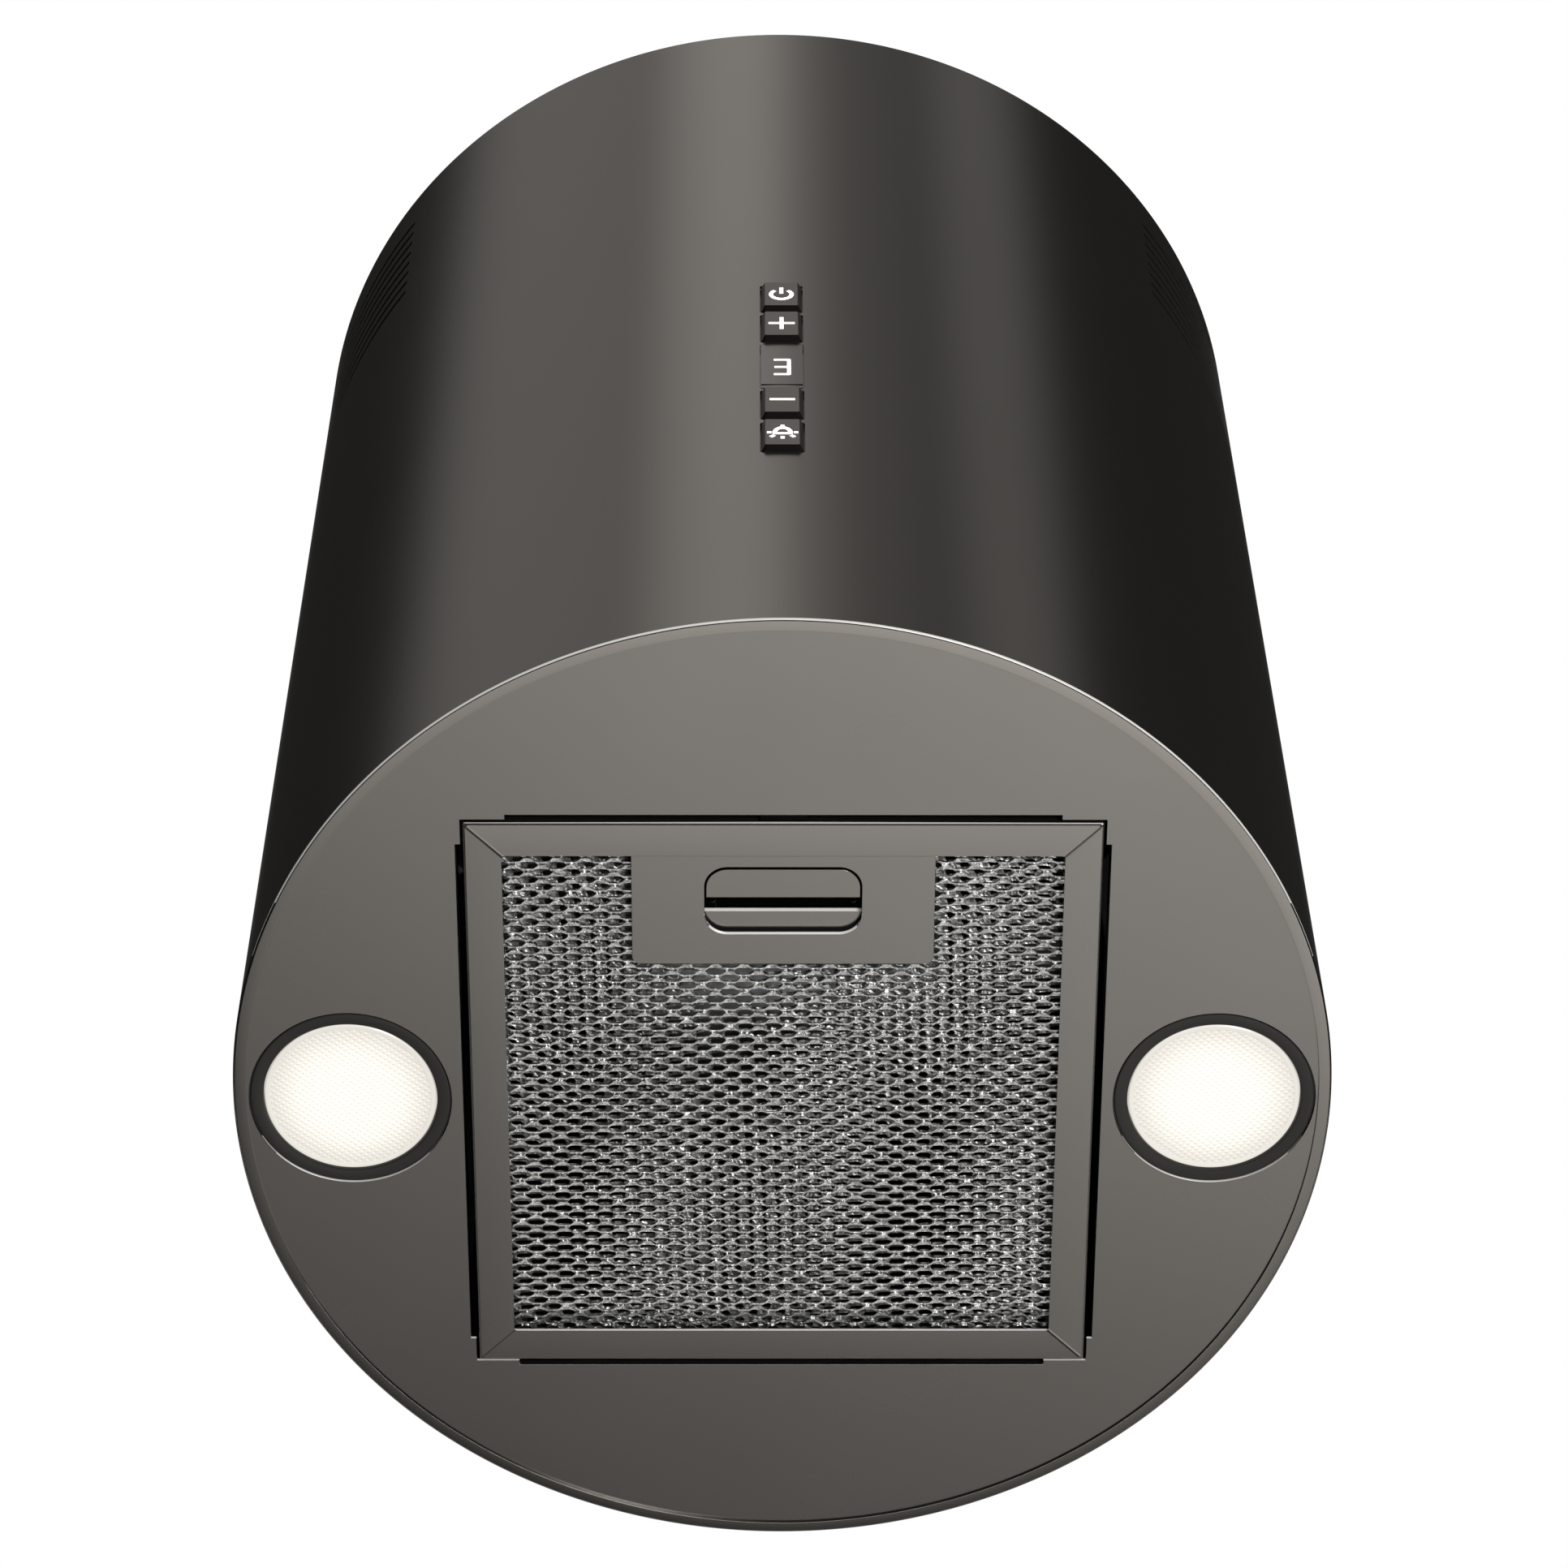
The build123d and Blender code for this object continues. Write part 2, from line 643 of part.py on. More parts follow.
def make_outlet_collar():
    mouth_x = 2 * SCROLL_HALF_W - 2 * SCROLL_T
    mouth_y = OUTLET_D - 2 * SCROLL_T
    base = SHELF_Z + SHEET_T
    inner_r = COLLAR_R - COLLAR_T
    with BuildPart() as collar:
        with BuildSketch(Plane.XY.offset(base)):
            with Locations((0, OUTLET_Y)):
                Rectangle(mouth_x + 2 * COLLAR_T, mouth_y + 2 * COLLAR_T)
        with BuildSketch(Plane.XY.offset(COLLAR_Z0)):
            Circle(COLLAR_R)
        loft()
        with BuildSketch(Plane.XY.offset(COLLAR_Z0)):
            Circle(COLLAR_R)
        extrude(amount=COLLAR_Z1 - COLLAR_Z0)
        with BuildSketch(Plane.XY.offset(base)):
            with Locations((0, OUTLET_Y)):
                Rectangle(140, 104)
        extrude(amount=COLLAR_T)
        with BuildSketch(Plane.XY.offset(base)):
            with Locations((0, OUTLET_Y)):
                Rectangle(mouth_x, mouth_y)
        with BuildSketch(Plane.XY.offset(COLLAR_Z0)):
            Circle(inner_r)
        loft(mode=Mode.SUBTRACT)
        with BuildSketch(Plane.XY.offset(COLLAR_Z0)):
            Circle(inner_r)
        extrude(amount=COLLAR_Z1 - COLLAR_Z0 + 1, mode=Mode.SUBTRACT)
        # seat for the closed flaps
        with BuildSketch(Plane.XY.offset(-96.0)):
            Circle(inner_r + 0.4)
            Circle(70.0, mode=Mode.SUBTRACT)
        extrude(amount=1.0)
        along_x(2.0, 0, FLAP_Z, -80, 80, Mode.SUBTRACT)
        with Locations((0, OUTLET_Y, base)):
            with GridLocations(128, 90, 2, 2):
                Cylinder(1.3, 10, mode=Mode.SUBTRACT)
    save(collar.part, "outlet_collar")


def flap(side, own, other):
    """One half-disc flap; side is -1 for front and 1 for rear."""
    z0 = FLAP_Z - 2.4
    with BuildPart() as leaf:
        with BuildSketch(Plane.XY.offset(z0)):
            Circle(FLAP_R)
            with Locations((0, -side * 50 + side * 0.4)):
                Rectangle(160, 100, mode=Mode.SUBTRACT)
        extrude(amount=1.0)
        for x0, x1 in own:
            along_x(3.2, 0, FLAP_Z, x0, x1)
        along_x(2.08, 0, FLAP_Z, -75, 75, Mode.SUBTRACT)
        for x0, x1 in other:
            block(x0 - 0.6, x1 + 0.6, min(0, side * 3.9), max(0, side * 3.9), z0 - 1, z0 + 2, Mode.SUBTRACT)
    return leaf.part


def make_flaps():
    front = ((-60, -35), (5, 30))
    rear = ((-30, -5), (35, 60))
    save(flap(-1, front, rear), "flap_front")
    save(flap(1, rear, front), "flap_rear")


def make_flap_pin():
    with BuildPart() as pin:
        along_x(2.0, 0, FLAP_Z, -74.2, 74.2)
    save(pin.part, "flap_pin")


# ---------------------------------------------------------------- electronics


def make_electronics_box():
    floor = SHELF_Z + SHEET_T
    with BuildPart() as box:
        block(-60, 60, 98, 160, floor, -112)
        block(-58.8, 58.8, 99.2, 158.8, floor + 1.2, -111, Mode.SUBTRACT)
        for x in (-55, 55):
            for y in (103, 155):
                upright(3.2, x, y, floor + 1.1, -112)
                upright(1.25, x, y, -117, -111, Mode.SUBTRACT)
        for x in (-44, 44):
            for y in (108, 150):
                upright(2.5, x, y, floor + 1.1, -152)
        along_x(3.0, 118, -140, -62, -57, Mode.SUBTRACT)
        along_x(3.0, 112, -145, 57, 62, Mode.SUBTRACT)
        along_x(6.2, 140, -132, 57, 62, Mode.SUBTRACT)
    save(box.part, "electronics_box")


def make_electronics_lid():
    with BuildPart() as lid:
        block(-60.5, 60.5, 97.5, 160.5, -111.8, -110.6)
        for x in (-55, 55):
            for y in (103, 155):
                upright(1.6, x, y, -113, -109, Mode.SUBTRACT)
    save(lid.part, "electronics_lid")


def make_power_board():
    with BuildPart() as board:
        block(-49, 49, 104, 154, -152, -150.4)
        block(-44, -14, 112, 142, -150.5, -126)
        for x in (-4, 10):
            block(x, x + 11, 130, 150, -150.5, -136)
        along_y(8, -2, -142.8, 106, 126)
        upright(5, 14, 118, -150.5, -133)
    save(board.part, "power_board")


def make_terminal_block():
    with BuildPart() as block_part:
        block(28, 46, 106, 128, -150.3, -137)
        for y in (111, 117, 123):
            upright(1.8, 33, y, -140, -136, Mode.SUBTRACT)
            along_x(1.7, y, -144, 40, 47, Mode.SUBTRACT)
    save(block_part.part, "terminal_block")


def make_cable_gland():
    with BuildPart() as gland:
        along_x(6.0, 140, -132, 54, 76)
        for x in (53.8, 60.0):
            with BuildSketch(Plane(origin=(x, 140, -132), x_dir=(0, 1, 0), z_dir=(1, 0, 0))):
                RegularPolygon(9, 6, major_radius=False)
            extrude(amount=5)
        along_x(8.2, 140, -132, 68, 78)
        along_x(3.6, 140, -132, 50, 80, Mode.SUBTRACT)
    save(gland.part, "cable_gland")


def lead(points):
    """A round lead along a path with rounded corners."""
    with BuildPart() as run:
        with BuildLine() as path:
            FilletPolyline(*points, radius=8)
        with BuildSketch(Plane(origin=path.line @ 0, z_dir=path.line % 0)):
            Circle(1.8)
        sweep()
    return run.part


def make_wiring_harness():
    top = -149.0
    runs = [
        lead([(-58.2, 40, -252), (-77, 40, -252), (-77, 40, -178), (-88, 80, -178), (-88, 80, -140), (-88, 118, -140), (-56, 118, -140)]),
        lead([(LAMP_X, 0, -461), (LAMP_X, 0, -425), (150, 0, -400), (150, 0, top + 4), (125, 100, top + 4), (88, 112, top + 4), (56, 112, top + 4)]),
        lead([(-LAMP_X, 0, -461), (-LAMP_X, 0, -425), (-150, 0, -400), (-150, 0, top), (-118, 108, top), (-70, 112, top)]),
        lead([(17, -169.9, -268), (17, -158, -268), (17, -158, top), (120, -100, top), (128, 60, top), (76, 106, top)]),
    ]
    with BuildPart() as harness:
        for run in runs:
            add(run)
    save(harness.part, "wiring_harness")


# ---------------------------------------------------------------- controls


def make_control_carrier():
    with BuildPart() as carrier:
        block(-21, 21, -186, -184, -395, -236)
        for z in (-246, -386):
            block(-32, 32, -186, -184, z - 6, z + 6)
        for z in BUTTON_Z.values():
            along_y(5.2, 0, z, -188.5, -184)
            along_y(STEM_R + 0.1, 0, z, -192, -180, Mode.SUBTRACT)
        block(-8, 8, -190, -180, WINDOW_Z - 17, WINDOW_Z + 17, Mode.SUBTRACT)
        for x in (-17, 17):
            for z in (-240, -391):
                along_y(3.2, x, z, -184.1, -176.0)
                along_y(1.25, x, z, -182, -175, Mode.SUBTRACT)
        for x in (-27, 27):
            for z in (-246, -386):
                along_y(1.7, x, z, -188, -182, Mode.SUBTRACT)
    save(carrier.part, "control_carrier")


def make_control_board():
    with BuildPart() as board:
        block(-21, 21, -176, -174.4, -395, -236)
        for x in (-17, 17):
            for z in (-240, -391):
                along_y(1.6, x, z, -178, -172, Mode.SUBTRACT)
        block(14, 20.5, -174.5, -170, -274, -262)
        block(-14, -4, -174.5, -173, -330, -318)
    save(board.part, "control_board")


def make_tact_switches():
    with BuildPart() as switches:
        for z in BUTTON_Z.values():
            block(-3.1, 3.1, -179.5, -176.0, z - 3.1, z + 3.1)
            along_y(1.7, 0, z, -181.0, -179.4)
    save(switches.part, "tact_switches")


def make_display_module():
    with BuildPart() as module:
        block(-7.4, 7.4, -191.5, -176.0, WINDOW_Z - 16, WINDOW_Z + 16)
    save(module.part, "display_module")


def make_display_window():
    with BuildPart() as window:
        block(-COLUMN_W / 2, COLUMN_W / 2, -TUBE_R - 2, -192.5, WINDOW_Z - WINDOW_H / 2, WINDOW_Z + WINDOW_H / 2)
        with BuildSketch(Plane.XY.offset(WINDOW_Z - 30)):
            Circle(TUBE_R)
        extrude(amount=60, mode=Mode.INTERSECT)
        block(-9, 9, -192.9, -191.8, WINDOW_Z - 18.6, WINDOW_Z + 18.6)
    save(window.part, "display_window")


def make_button(key):
    """A tapered key cap with a retaining flange and a guided stem."""
    z = BUTTON_Z[key]
    with BuildPart() as button:
        front = Plane(origin=(0, -TUBE_R, z), x_dir=(1, 0, 0), z_dir=(0, -1, 0))
        with BuildSketch(front.offset(-2.3)):
            RectangleRounded(COLUMN_W, BUTTON_H, 1.0)
        extrude(amount=2.5)
        with BuildSketch(front.offset(0.2)):
            RectangleRounded(COLUMN_W, BUTTON_H, 1.0)
        with BuildSketch(front.offset(BUTTON_PROUD)):
            RectangleRounded(COLUMN_W - 2.6, BUTTON_H - 2.6, 0.8)
        loft()
        block(-9, 9, -192.8, -191.3, z - 12.2, z + 12.2)
        along_y(STEM_R, 0, z, -191.4, -182.4)
    save(button.part, f"button_{key}")


# ---------------------------------------------------------------- lamps


def make_lamp(side, word):
    x = side * LAMP_X
    with BuildPart() as bezel:
        upright(35.6, x, 0, -506.7, -503.6)
        upright(37.5, x, 0, -506.0, -504.6)
        upright(LENS_R + 0.3, x, 0, -508, -502, Mode.SUBTRACT)
    save(bezel.part, f"lamp_bezel_{word}")
    with BuildPart() as lens:
        upright(LENS_R, x, 0, -506.2, -503.5)
        upright(LENS_R + 2, x, 0, -503.6, -502.4)
    save(lens.part, f"lamp_lens_{word}")
    with BuildPart() as led:
        upright(32.6, x, 0, -489.6, -488.0)
        with Locations((x, 0)):
            with PolarLocations(16, 8):
                with Locations((0, 0, -489.9)):
                    Box(5, 5, 0.8)
    save(led.part, f"lamp_board_{word}")
    with BuildPart() as housing:
        upright(35.0, x, 0, -503.5, -484.0)
        upright(33.2, x, 0, -504, -488.0, Mode.SUBTRACT)
        for i in range(9):
            fin_y = (i - 4) * 7.0
            half = math.sqrt(35.0 ** 2 - (abs(fin_y) + 0.9) ** 2) - 0.5
            block(x - half, x + half, fin_y - 0.8, fin_y + 0.8, -484.1, -464.0)
        upright(5.0, x, 0, -484.1, -461.0)
        upright(2.0, x, 0, -470, -460, Mode.SUBTRACT)
    save(housing.part, f"lamp_housing_{word}")


def make_lamp_clips():
    with BuildPart() as clips:
        for side in (-1, 1):
            for way in (-1, 1):
                plane = Plane(origin=(side * LAMP_X - 5, 0, 0), x_dir=(0, way, 0), z_dir=(1, 0, 0))
                rise = way
                with BuildSketch(plane):
                    with BuildLine():
                        Polyline(
                            (35.1, -482 * rise),
                            (35.9, -482 * rise),
                            (35.9, -497 * rise),
                            (47.0, -505.0 * rise),
                            (47.0, -506.0 * rise),
                            (46.2, -505.8 * rise),
                            (35.1, -497.6 * rise),
                            close=True,
                        )
                    make_face()
                extrude(amount=10)
    save(clips.part, "lamp_clips")


# ---------------------------------------------------------------- filter


def make_filter_frame():
    with BuildPart() as frame:
        with BuildSketch(Plane.XY.offset(RIM_Z)):
            Rectangle(FILTER_X, FILTER_Y)
        extrude(amount=FILTER_H)
        fillet(frame.edges().group_by(Axis.Z)[0], 1.3)
        with BuildSketch(Plane.XY.offset(RIM_Z + FILTER_T)):
            Rectangle(FILTER_X - 2 * FILTER_T, FILTER_Y - 2 * FILTER_T)
        extrude(amount=FILTER_H - 2 * FILTER_T, mode=Mode.SUBTRACT)
        with BuildSketch(Plane.XY.offset(RIM_Z - 1)):
            Rectangle(FILTER_X - 2 * FILTER_FACE, FILTER_Y - 2 * FILTER_FACE)
        extrude(amount=FILTER_H + 2, mode=Mode.SUBTRACT)
        # mitre lines at the four corners
        for sx in (-1, 1):
            for sy in (-1, 1):
                x = sx * (FILTER_X / 2 - FILTER_FACE / 2)
                y = sy * (FILTER_Y / 2 - FILTER_FACE / 2)
                with Locations(Location((x, y, RIM_Z), (0, 0, 45 * sx * sy))):
                    Box(FILTER_FACE * 1.6, 0.3, 0.5, mode=Mode.SUBTRACT)
        # rear tongues and the slot for the latch tongue
        for x in (-70, 70):
            block(x - 7, x + 7, FILTER_Y / 2 - 1, FILTER_Y / 2 + 7, -500.2, -499.0)
        block(-8.5, 8.5, -FILTER_Y / 2 - 1, -FILTER_Y / 2 + 3, -506.6, -504.6, Mode.SUBTRACT)
    save(frame.part, "filter_frame")


def mesh_layer(z0, z1):
    """One layer of the filter pack, with a cut-out round the latch pocket."""
    with BuildPart() as layer:
        with BuildSketch(Plane.XY.offset(z0)):
            Rectangle(FILTER_X - 7, FILTER_Y - 7)
            with Locations((0, -88)):
                Rectangle(66, 50, mode=Mode.SUBTRACT)
        extrude(amount=z1 - z0)
    return layer.part


def make_filter_meshes():
    save(mesh_layer(-506.5, -503.6), "filter_mesh_lower")
    save(mesh_layer(-503.4, -500.4), "filter_mesh_upper")


def make_filter_handle():
    width = HANDLE_W
    depth = HANDLE_Y1 - HANDLE_Y0
    with BuildPart() as handle:
        with BuildSketch(Plane.XY.offset(-507.7)):
            with Locations((0, (HANDLE_Y0 + HANDLE_Y1) / 2)):
                RectangleRounded(width, depth, 3.0)
            with Locations((0, HANDLE_Y0 + 4)):
                Rectangle(width, 8)
        extrude(amount=1.0)
        block(-30.7, 30.7, HANDLE_Y0, -66.0, -506.8, -500.6)
        block(-29.7, 29.7, HANDLE_Y0 - 1, -67.0, -506.7, -501.6, Mode.SUBTRACT)
        with BuildSketch(Plane.XY.offset(-509)):
            with Locations((0, (GRIP_Y0 + GRIP_Y1) / 2)):
                RectangleRounded(GRIP_W, GRIP_Y1 - GRIP_Y0, 8.0)
        extrude(amount=3, mode=Mode.SUBTRACT)
        # raised rear part of the pocket floor
        with BuildSketch(Plane(origin=(-29.8, 0, 0), x_dir=(0, 1, 0), z_dir=(1, 0, 0))):
            with BuildLine():
                l1 = Polyline((-78, -501.5), (-78, -504.6), (-77, -505.0))
                l2 = Spline((-77, -505.0), (-72, -503.6), (-66.9, -502.6))
                Polyline((-66.9, -502.6), (-66.9, -501.5), (-78, -501.5))
            make_face()
        extrude(amount=59.6)
    save(handle.part, "filter_handle_plate")


def make_filter_latch():
    with BuildPart() as latch:
        block(-27, 27, -99.5, -83.5, -506.3, -505.1)
        fillet(latch.edges().filter_by(Axis.Z), 3)
        block(-8, 8, -116.9, -99.0, -506.3, -505.1)
        for side in (-1, 1):
            block(side * 22, side * 27, -98.5, -97.0, -505.2, -502.1)
    save(latch.part, "filter_latch")


def make_latch_springs():
    with BuildPart() as springs:
        for x in (-24.5, 24.5):
            with BuildLine() as path:
                Helix(2.1, 17.6, 1.0, center=(x, -96.3, -503.4), direction=(0, 1, 0))
            with BuildSketch(Plane(origin=path.line @ 0, z_dir=path.line % 0)):
                Circle(0.25)
            sweep()
    save(springs.part, "latch_springs")


make_outer_tube()
make_bottom_panel()
make_panel_studs()
make_panel_nuts()
make_lower_ring()
make_rail(225, "frame_rail_front_left")
make_rail(315, "frame_rail_front_right")
make_rail(135, "frame_rail_rear_left")
make_rail(45, "frame_rail_rear_right")
make_ceiling_plate()
make_frame_screws()
make_tube_screws()
make_blower_shelf()
make_scroll_halves()
make_impeller()
make_motor_shaft()
make_motor_rotor()
make_motor_stator()
make_motor_windings()
make_motor_caps()
make_motor_bearings()
make_motor_bracket()
make_motor_bushes()
make_small_screws()
make_outlet_collar()
make_flaps()
make_flap_pin()
make_electronics_box()
make_electronics_lid()
make_power_board()
make_terminal_block()
make_cable_gland()
make_wiring_harness()
make_control_carrier()
make_control_board()
make_tact_switches()
make_display_module()
make_display_window()
for button_name in BUTTON_Z:
    make_button(button_name)
make_lamp(-1, "left")
make_lamp(1, "right")
make_lamp_clips()
make_filter_frame()
make_filter_meshes()
make_filter_handle()
make_filter_latch()
make_latch_springs()
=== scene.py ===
import json
import logging
import math
from dataclasses import dataclass, field
from enum import Enum
from typing import Callable, Iterable, Sequence

import bmesh
import bpy
from mathutils import Matrix, Vector


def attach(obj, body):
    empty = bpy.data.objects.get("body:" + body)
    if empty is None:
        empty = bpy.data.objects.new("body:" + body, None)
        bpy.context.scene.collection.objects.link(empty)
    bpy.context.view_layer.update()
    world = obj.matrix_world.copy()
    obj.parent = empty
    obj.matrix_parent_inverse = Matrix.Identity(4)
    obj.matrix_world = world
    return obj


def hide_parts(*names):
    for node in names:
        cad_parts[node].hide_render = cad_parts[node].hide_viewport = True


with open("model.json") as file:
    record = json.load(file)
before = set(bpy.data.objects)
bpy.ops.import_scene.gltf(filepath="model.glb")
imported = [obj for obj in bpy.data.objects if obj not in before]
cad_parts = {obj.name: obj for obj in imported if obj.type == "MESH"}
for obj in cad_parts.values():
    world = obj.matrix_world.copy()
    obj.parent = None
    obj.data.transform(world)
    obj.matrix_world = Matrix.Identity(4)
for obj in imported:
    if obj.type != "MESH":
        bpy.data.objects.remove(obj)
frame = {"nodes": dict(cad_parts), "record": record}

logging.basicConfig(level=logging.INFO, format="%(message)s")
log = logging.getLogger("hood")

MM = 0.001
Point = tuple[float, float, float]
Colour = tuple[float, float, float]
Stroke = tuple[float, float, float, float]


# ------------------------------------------------------------------ modelling bench


class Bench:
    """The modelling moves that every sub-assembly uses."""

    @staticmethod
    def clear() -> None:
        """Leave edit mode and deselect everything."""
        if bpy.context.object and bpy.context.object.mode != "OBJECT":
            bpy.ops.object.mode_set(mode="OBJECT")
        bpy.ops.object.select_all(action="DESELECT")

    @staticmethod
    def use(piece: bpy.types.Object) -> bpy.types.Object:
        """Make one piece the only selected and active one.

        Args:
            piece: The piece to work on.

        Returns:
            The same piece.
        """
        Bench.clear()
        piece.select_set(True)
        bpy.context.view_layer.objects.active = piece
        return piece

    @staticmethod
    def edit(piece: bpy.types.Object, mode: str = "FACE") -> bmesh.types.BMesh:
        """Enter edit mode on a piece with nothing selected.

        Args:
            piece: The piece to edit.
            mode: VERT, EDGE or FACE.

        Returns:
            The edit mesh, for selecting by place.
        """
        Bench.use(piece)
        bpy.ops.object.mode_set(mode="EDIT")
        bpy.ops.mesh.select_mode(type=mode)
        bpy.ops.mesh.select_all(action="DESELECT")
        return bmesh.from_edit_mesh(piece.data)

    @staticmethod
    def pick(piece: bpy.types.Object, kind: str, test: Callable[[Vector], bool]) -> int:
        """Select the vertices, edges or faces whose middle passes a test.

        Args:
            piece: The piece to select in; it ends in edit mode.
            kind: VERT, EDGE or FACE.
            test: Takes the middle of an element in metres.

        Returns:
            How many were selected.
        """
        mesh = Bench.edit(piece, kind)
        if kind == "VERT":
            chosen = [v for v in mesh.verts if test(v.co)]
        elif kind == "EDGE":
            chosen = [e for e in mesh.edges if test((e.verts[0].co + e.verts[1].co) / 2)]
        else:
            chosen = [f for f in mesh.faces if test(f.calc_center_median())]
        for element in chosen:
            element.select_set(True)
        mesh.select_flush_mode()
        bmesh.update_edit_mesh(piece.data)
        return len(chosen)

    @staticmethod
    def done() -> None:
        """Go back to object mode."""
        bpy.ops.object.mode_set(mode="OBJECT")

    @staticmethod
    def settle(piece: bpy.types.Object) -> bpy.types.Object:
        """Put a piece's place, turn and scale into its mesh.

        Args:
            piece: The piece to settle.

        Returns:
            The same piece.
        """
        Bench.use(piece)
        bpy.ops.object.transform_apply(location=True, rotation=True, scale=True)
        return piece

    @staticmethod
    def block(low: Sequence[float], high: Sequence[float], name: str) -> bpy.types.Object:
        """Add a cube between two corners given in millimetres.

        Args:
            low: The lowest corner.
            high: The highest corner.
            name: The new object's name.

        Returns:
            The block, settled.
        """
        Bench.clear()
        middle = [(a + b) / 2 * MM for a, b in zip(low, high)]
        bpy.ops.mesh.primitive_cube_add(size=1.0, location=middle)
        piece = bpy.context.object
        piece.name = name
        piece.scale = [(b - a) * MM for a, b in zip(low, high)]
        return Bench.settle(piece)

    @staticmethod
    def loop(
        sides: int, radius: float, centre: Sequence[float], name: str, turn: float = 0.0
    ) -> bpy.types.Object:
        """Add an empty ring of edges that faces up.

        Args:
            sides: How many edges.
            radius: Its radius in millimetres.
            centre: Its centre in millimetres.
            name: The new object's name.
            turn: Turn about Z in degrees.

        Returns:
            The ring, settled.
        """
        Bench.clear()
        bpy.ops.mesh.primitive_circle_add(
            vertices=sides,
            radius=radius * MM,
            fill_type="NOTHING",
            location=[c * MM for c in centre],
            rotation=(0.0, 0.0, math.radians(turn)),
        )
        piece = bpy.context.object
        piece.name = name
        return Bench.settle(piece)

    @staticmethod
    def grow(shift: Sequence[float]) -> None:
        """Extrude the selection by a shift in millimetres."""
        bpy.ops.mesh.extrude_region_move(TRANSFORM_OT_translate={"value": [s * MM for s in shift]})

    @staticmethod
    def resize(factors: Sequence[float], centre: Sequence[float]) -> None:
        """Scale the selection about a centre in millimetres."""
        bpy.ops.transform.resize(value=factors, center_override=[c * MM for c in centre])

    @staticmethod
    def turned_profile(
        stations: Sequence[tuple[float, float]],
        centre: Sequence[float],
        sides: int,
        name: str,
        closed: bool = True,
    ) -> bpy.types.Object:
        """Make a round piece from rings at radius and height stations.

        Args:
            stations: Pairs of radius and height in millimetres.
            centre: The X and Y of the axis in millimetres.
            sides: How many sides each ring has.
            name: The new object's name.
            closed: Whether the first and last rings are joined.

        Returns:
            The piece.
        """
        r0, z0 = stations[0]
        piece = Bench.loop(sides, r0, (centre[0], centre[1], z0), name)
        Bench.edit(piece, "EDGE")
        bpy.ops.mesh.select_all(action="SELECT")
        last_r, last_z = r0, z0
        for r, z in stations[1:]:
            Bench.grow((0, 0, z - last_z))
            if abs(r - last_r) > 1e-6:
                Bench.resize((r / last_r, r / last_r, 1), (centre[0], centre[1], z))
            last_r, last_z = r, z
        if closed:
            bpy.ops.mesh.select_all(action="DESELECT")
            mesh = bmesh.from_edit_mesh(piece.data)
            for edge in mesh.edges:
                edge.select_set(edge.is_boundary)
            bmesh.update_edit_mesh(piece.data)
            bpy.ops.mesh.bridge_edge_loops()
        bpy.ops.mesh.select_all(action="SELECT")
        bpy.ops.mesh.normals_make_consistent(inside=False)
        Bench.done()
        return piece

    @staticmethod
    def modifier(piece: bpy.types.Object, kind: str, **settings: object) -> None:
        """Add a modifier with settings and apply it at once."""
        Bench.use(piece)
        mod = piece.modifiers.new(kind.lower(), kind)
        for key, value in settings.items():
            setattr(mod, key, value)
        bpy.ops.object.modifier_apply(modifier=mod.name)

    @staticmethod
    def bevel(piece: bpy.types.Object, width: float, segments: int = 2, angle: float = 30.0) -> None:
        """Round the sharp edges of a piece by a width in millimetres."""
        Bench.modifier(
            piece, "BEVEL", width=width * MM, segments=segments, limit_method="ANGLE",
            angle_limit=math.radians(angle), use_clamp_overlap=True, harden_normals=False,
        )

    @staticmethod
    def cut(piece: bpy.types.Object, cutter: bpy.types.Object) -> None:
        """Take a cutter's shape out of a piece and remove the cutter."""
        Bench.modifier(piece, "BOOLEAN", object=cutter, operation="DIFFERENCE", solver="EXACT")
        bpy.data.objects.remove(cutter, do_unlink=True)

    @staticmethod
    def join(pieces: Sequence[bpy.types.Object]) -> bpy.types.Object:
        """Join pieces into the first one.

        Args:
            pieces: The pieces, the kept one first.

        Returns:
            The joined piece.
        """
        Bench.clear()
        for piece in pieces:
            piece.select_set(True)
        bpy.context.view_layer.objects.active = pieces[0]
        bpy.ops.object.join()
        return pieces[0]

    @staticmethod
    def copy(piece: bpy.types.Object, name: str) -> bpy.types.Object:
        """Copy a piece with its own mesh.

        Args:
            piece: The piece to copy.
            name: The copy's name.

        Returns:
            The copy.
        """
        Bench.use(piece)
        bpy.ops.object.duplicate(linked=False)
        twin = bpy.context.object
        twin.name = name
        return twin

    @staticmethod
    def smooth(piece: bpy.types.Object, angle: float = 32.0) -> None:
        """Shade a piece smooth up to an angle in degrees."""
        Bench.use(piece)
        bpy.ops.object.shade_smooth_by_angle(angle=math.radians(angle))

    @staticmethod
    def finish(
        piece: bpy.types.Object,
        name: str,
        body: str,
        material: bpy.types.Material,
        slot: str,
        replaces: Iterable[str] = (),
        angle: float = 32.0,
    ) -> bpy.types.Object:
        """Name, shade, dress and mount a finished piece.

        Args:
            piece: The piece.
            name: Its final name.
            body: The moving body that it rides on.
            material: Its material.
            slot: The record's material slot; not used.
            replaces: CAD nodes that it stands for.
            angle: The angle up to which it is shaded smooth.

        Returns:
            The piece.
        """
        Bench.settle(piece)
        piece.name = name
        piece.data.name = name
        Bench.smooth(piece, angle)
        if angle < 45.0:
            Bench.modifier(piece, "WEIGHTED_NORMAL", weight=80, keep_sharp=True)
        piece.data.materials.clear()
        piece.data.materials.append(material)
        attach(piece, body)
        nodes = list(replaces)
        if nodes:
            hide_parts(*nodes)
        log.info("%s: %d faces on %s", name, len(piece.data.polygons), body)
        return piece


# ------------------------------------------------------------------ finishes


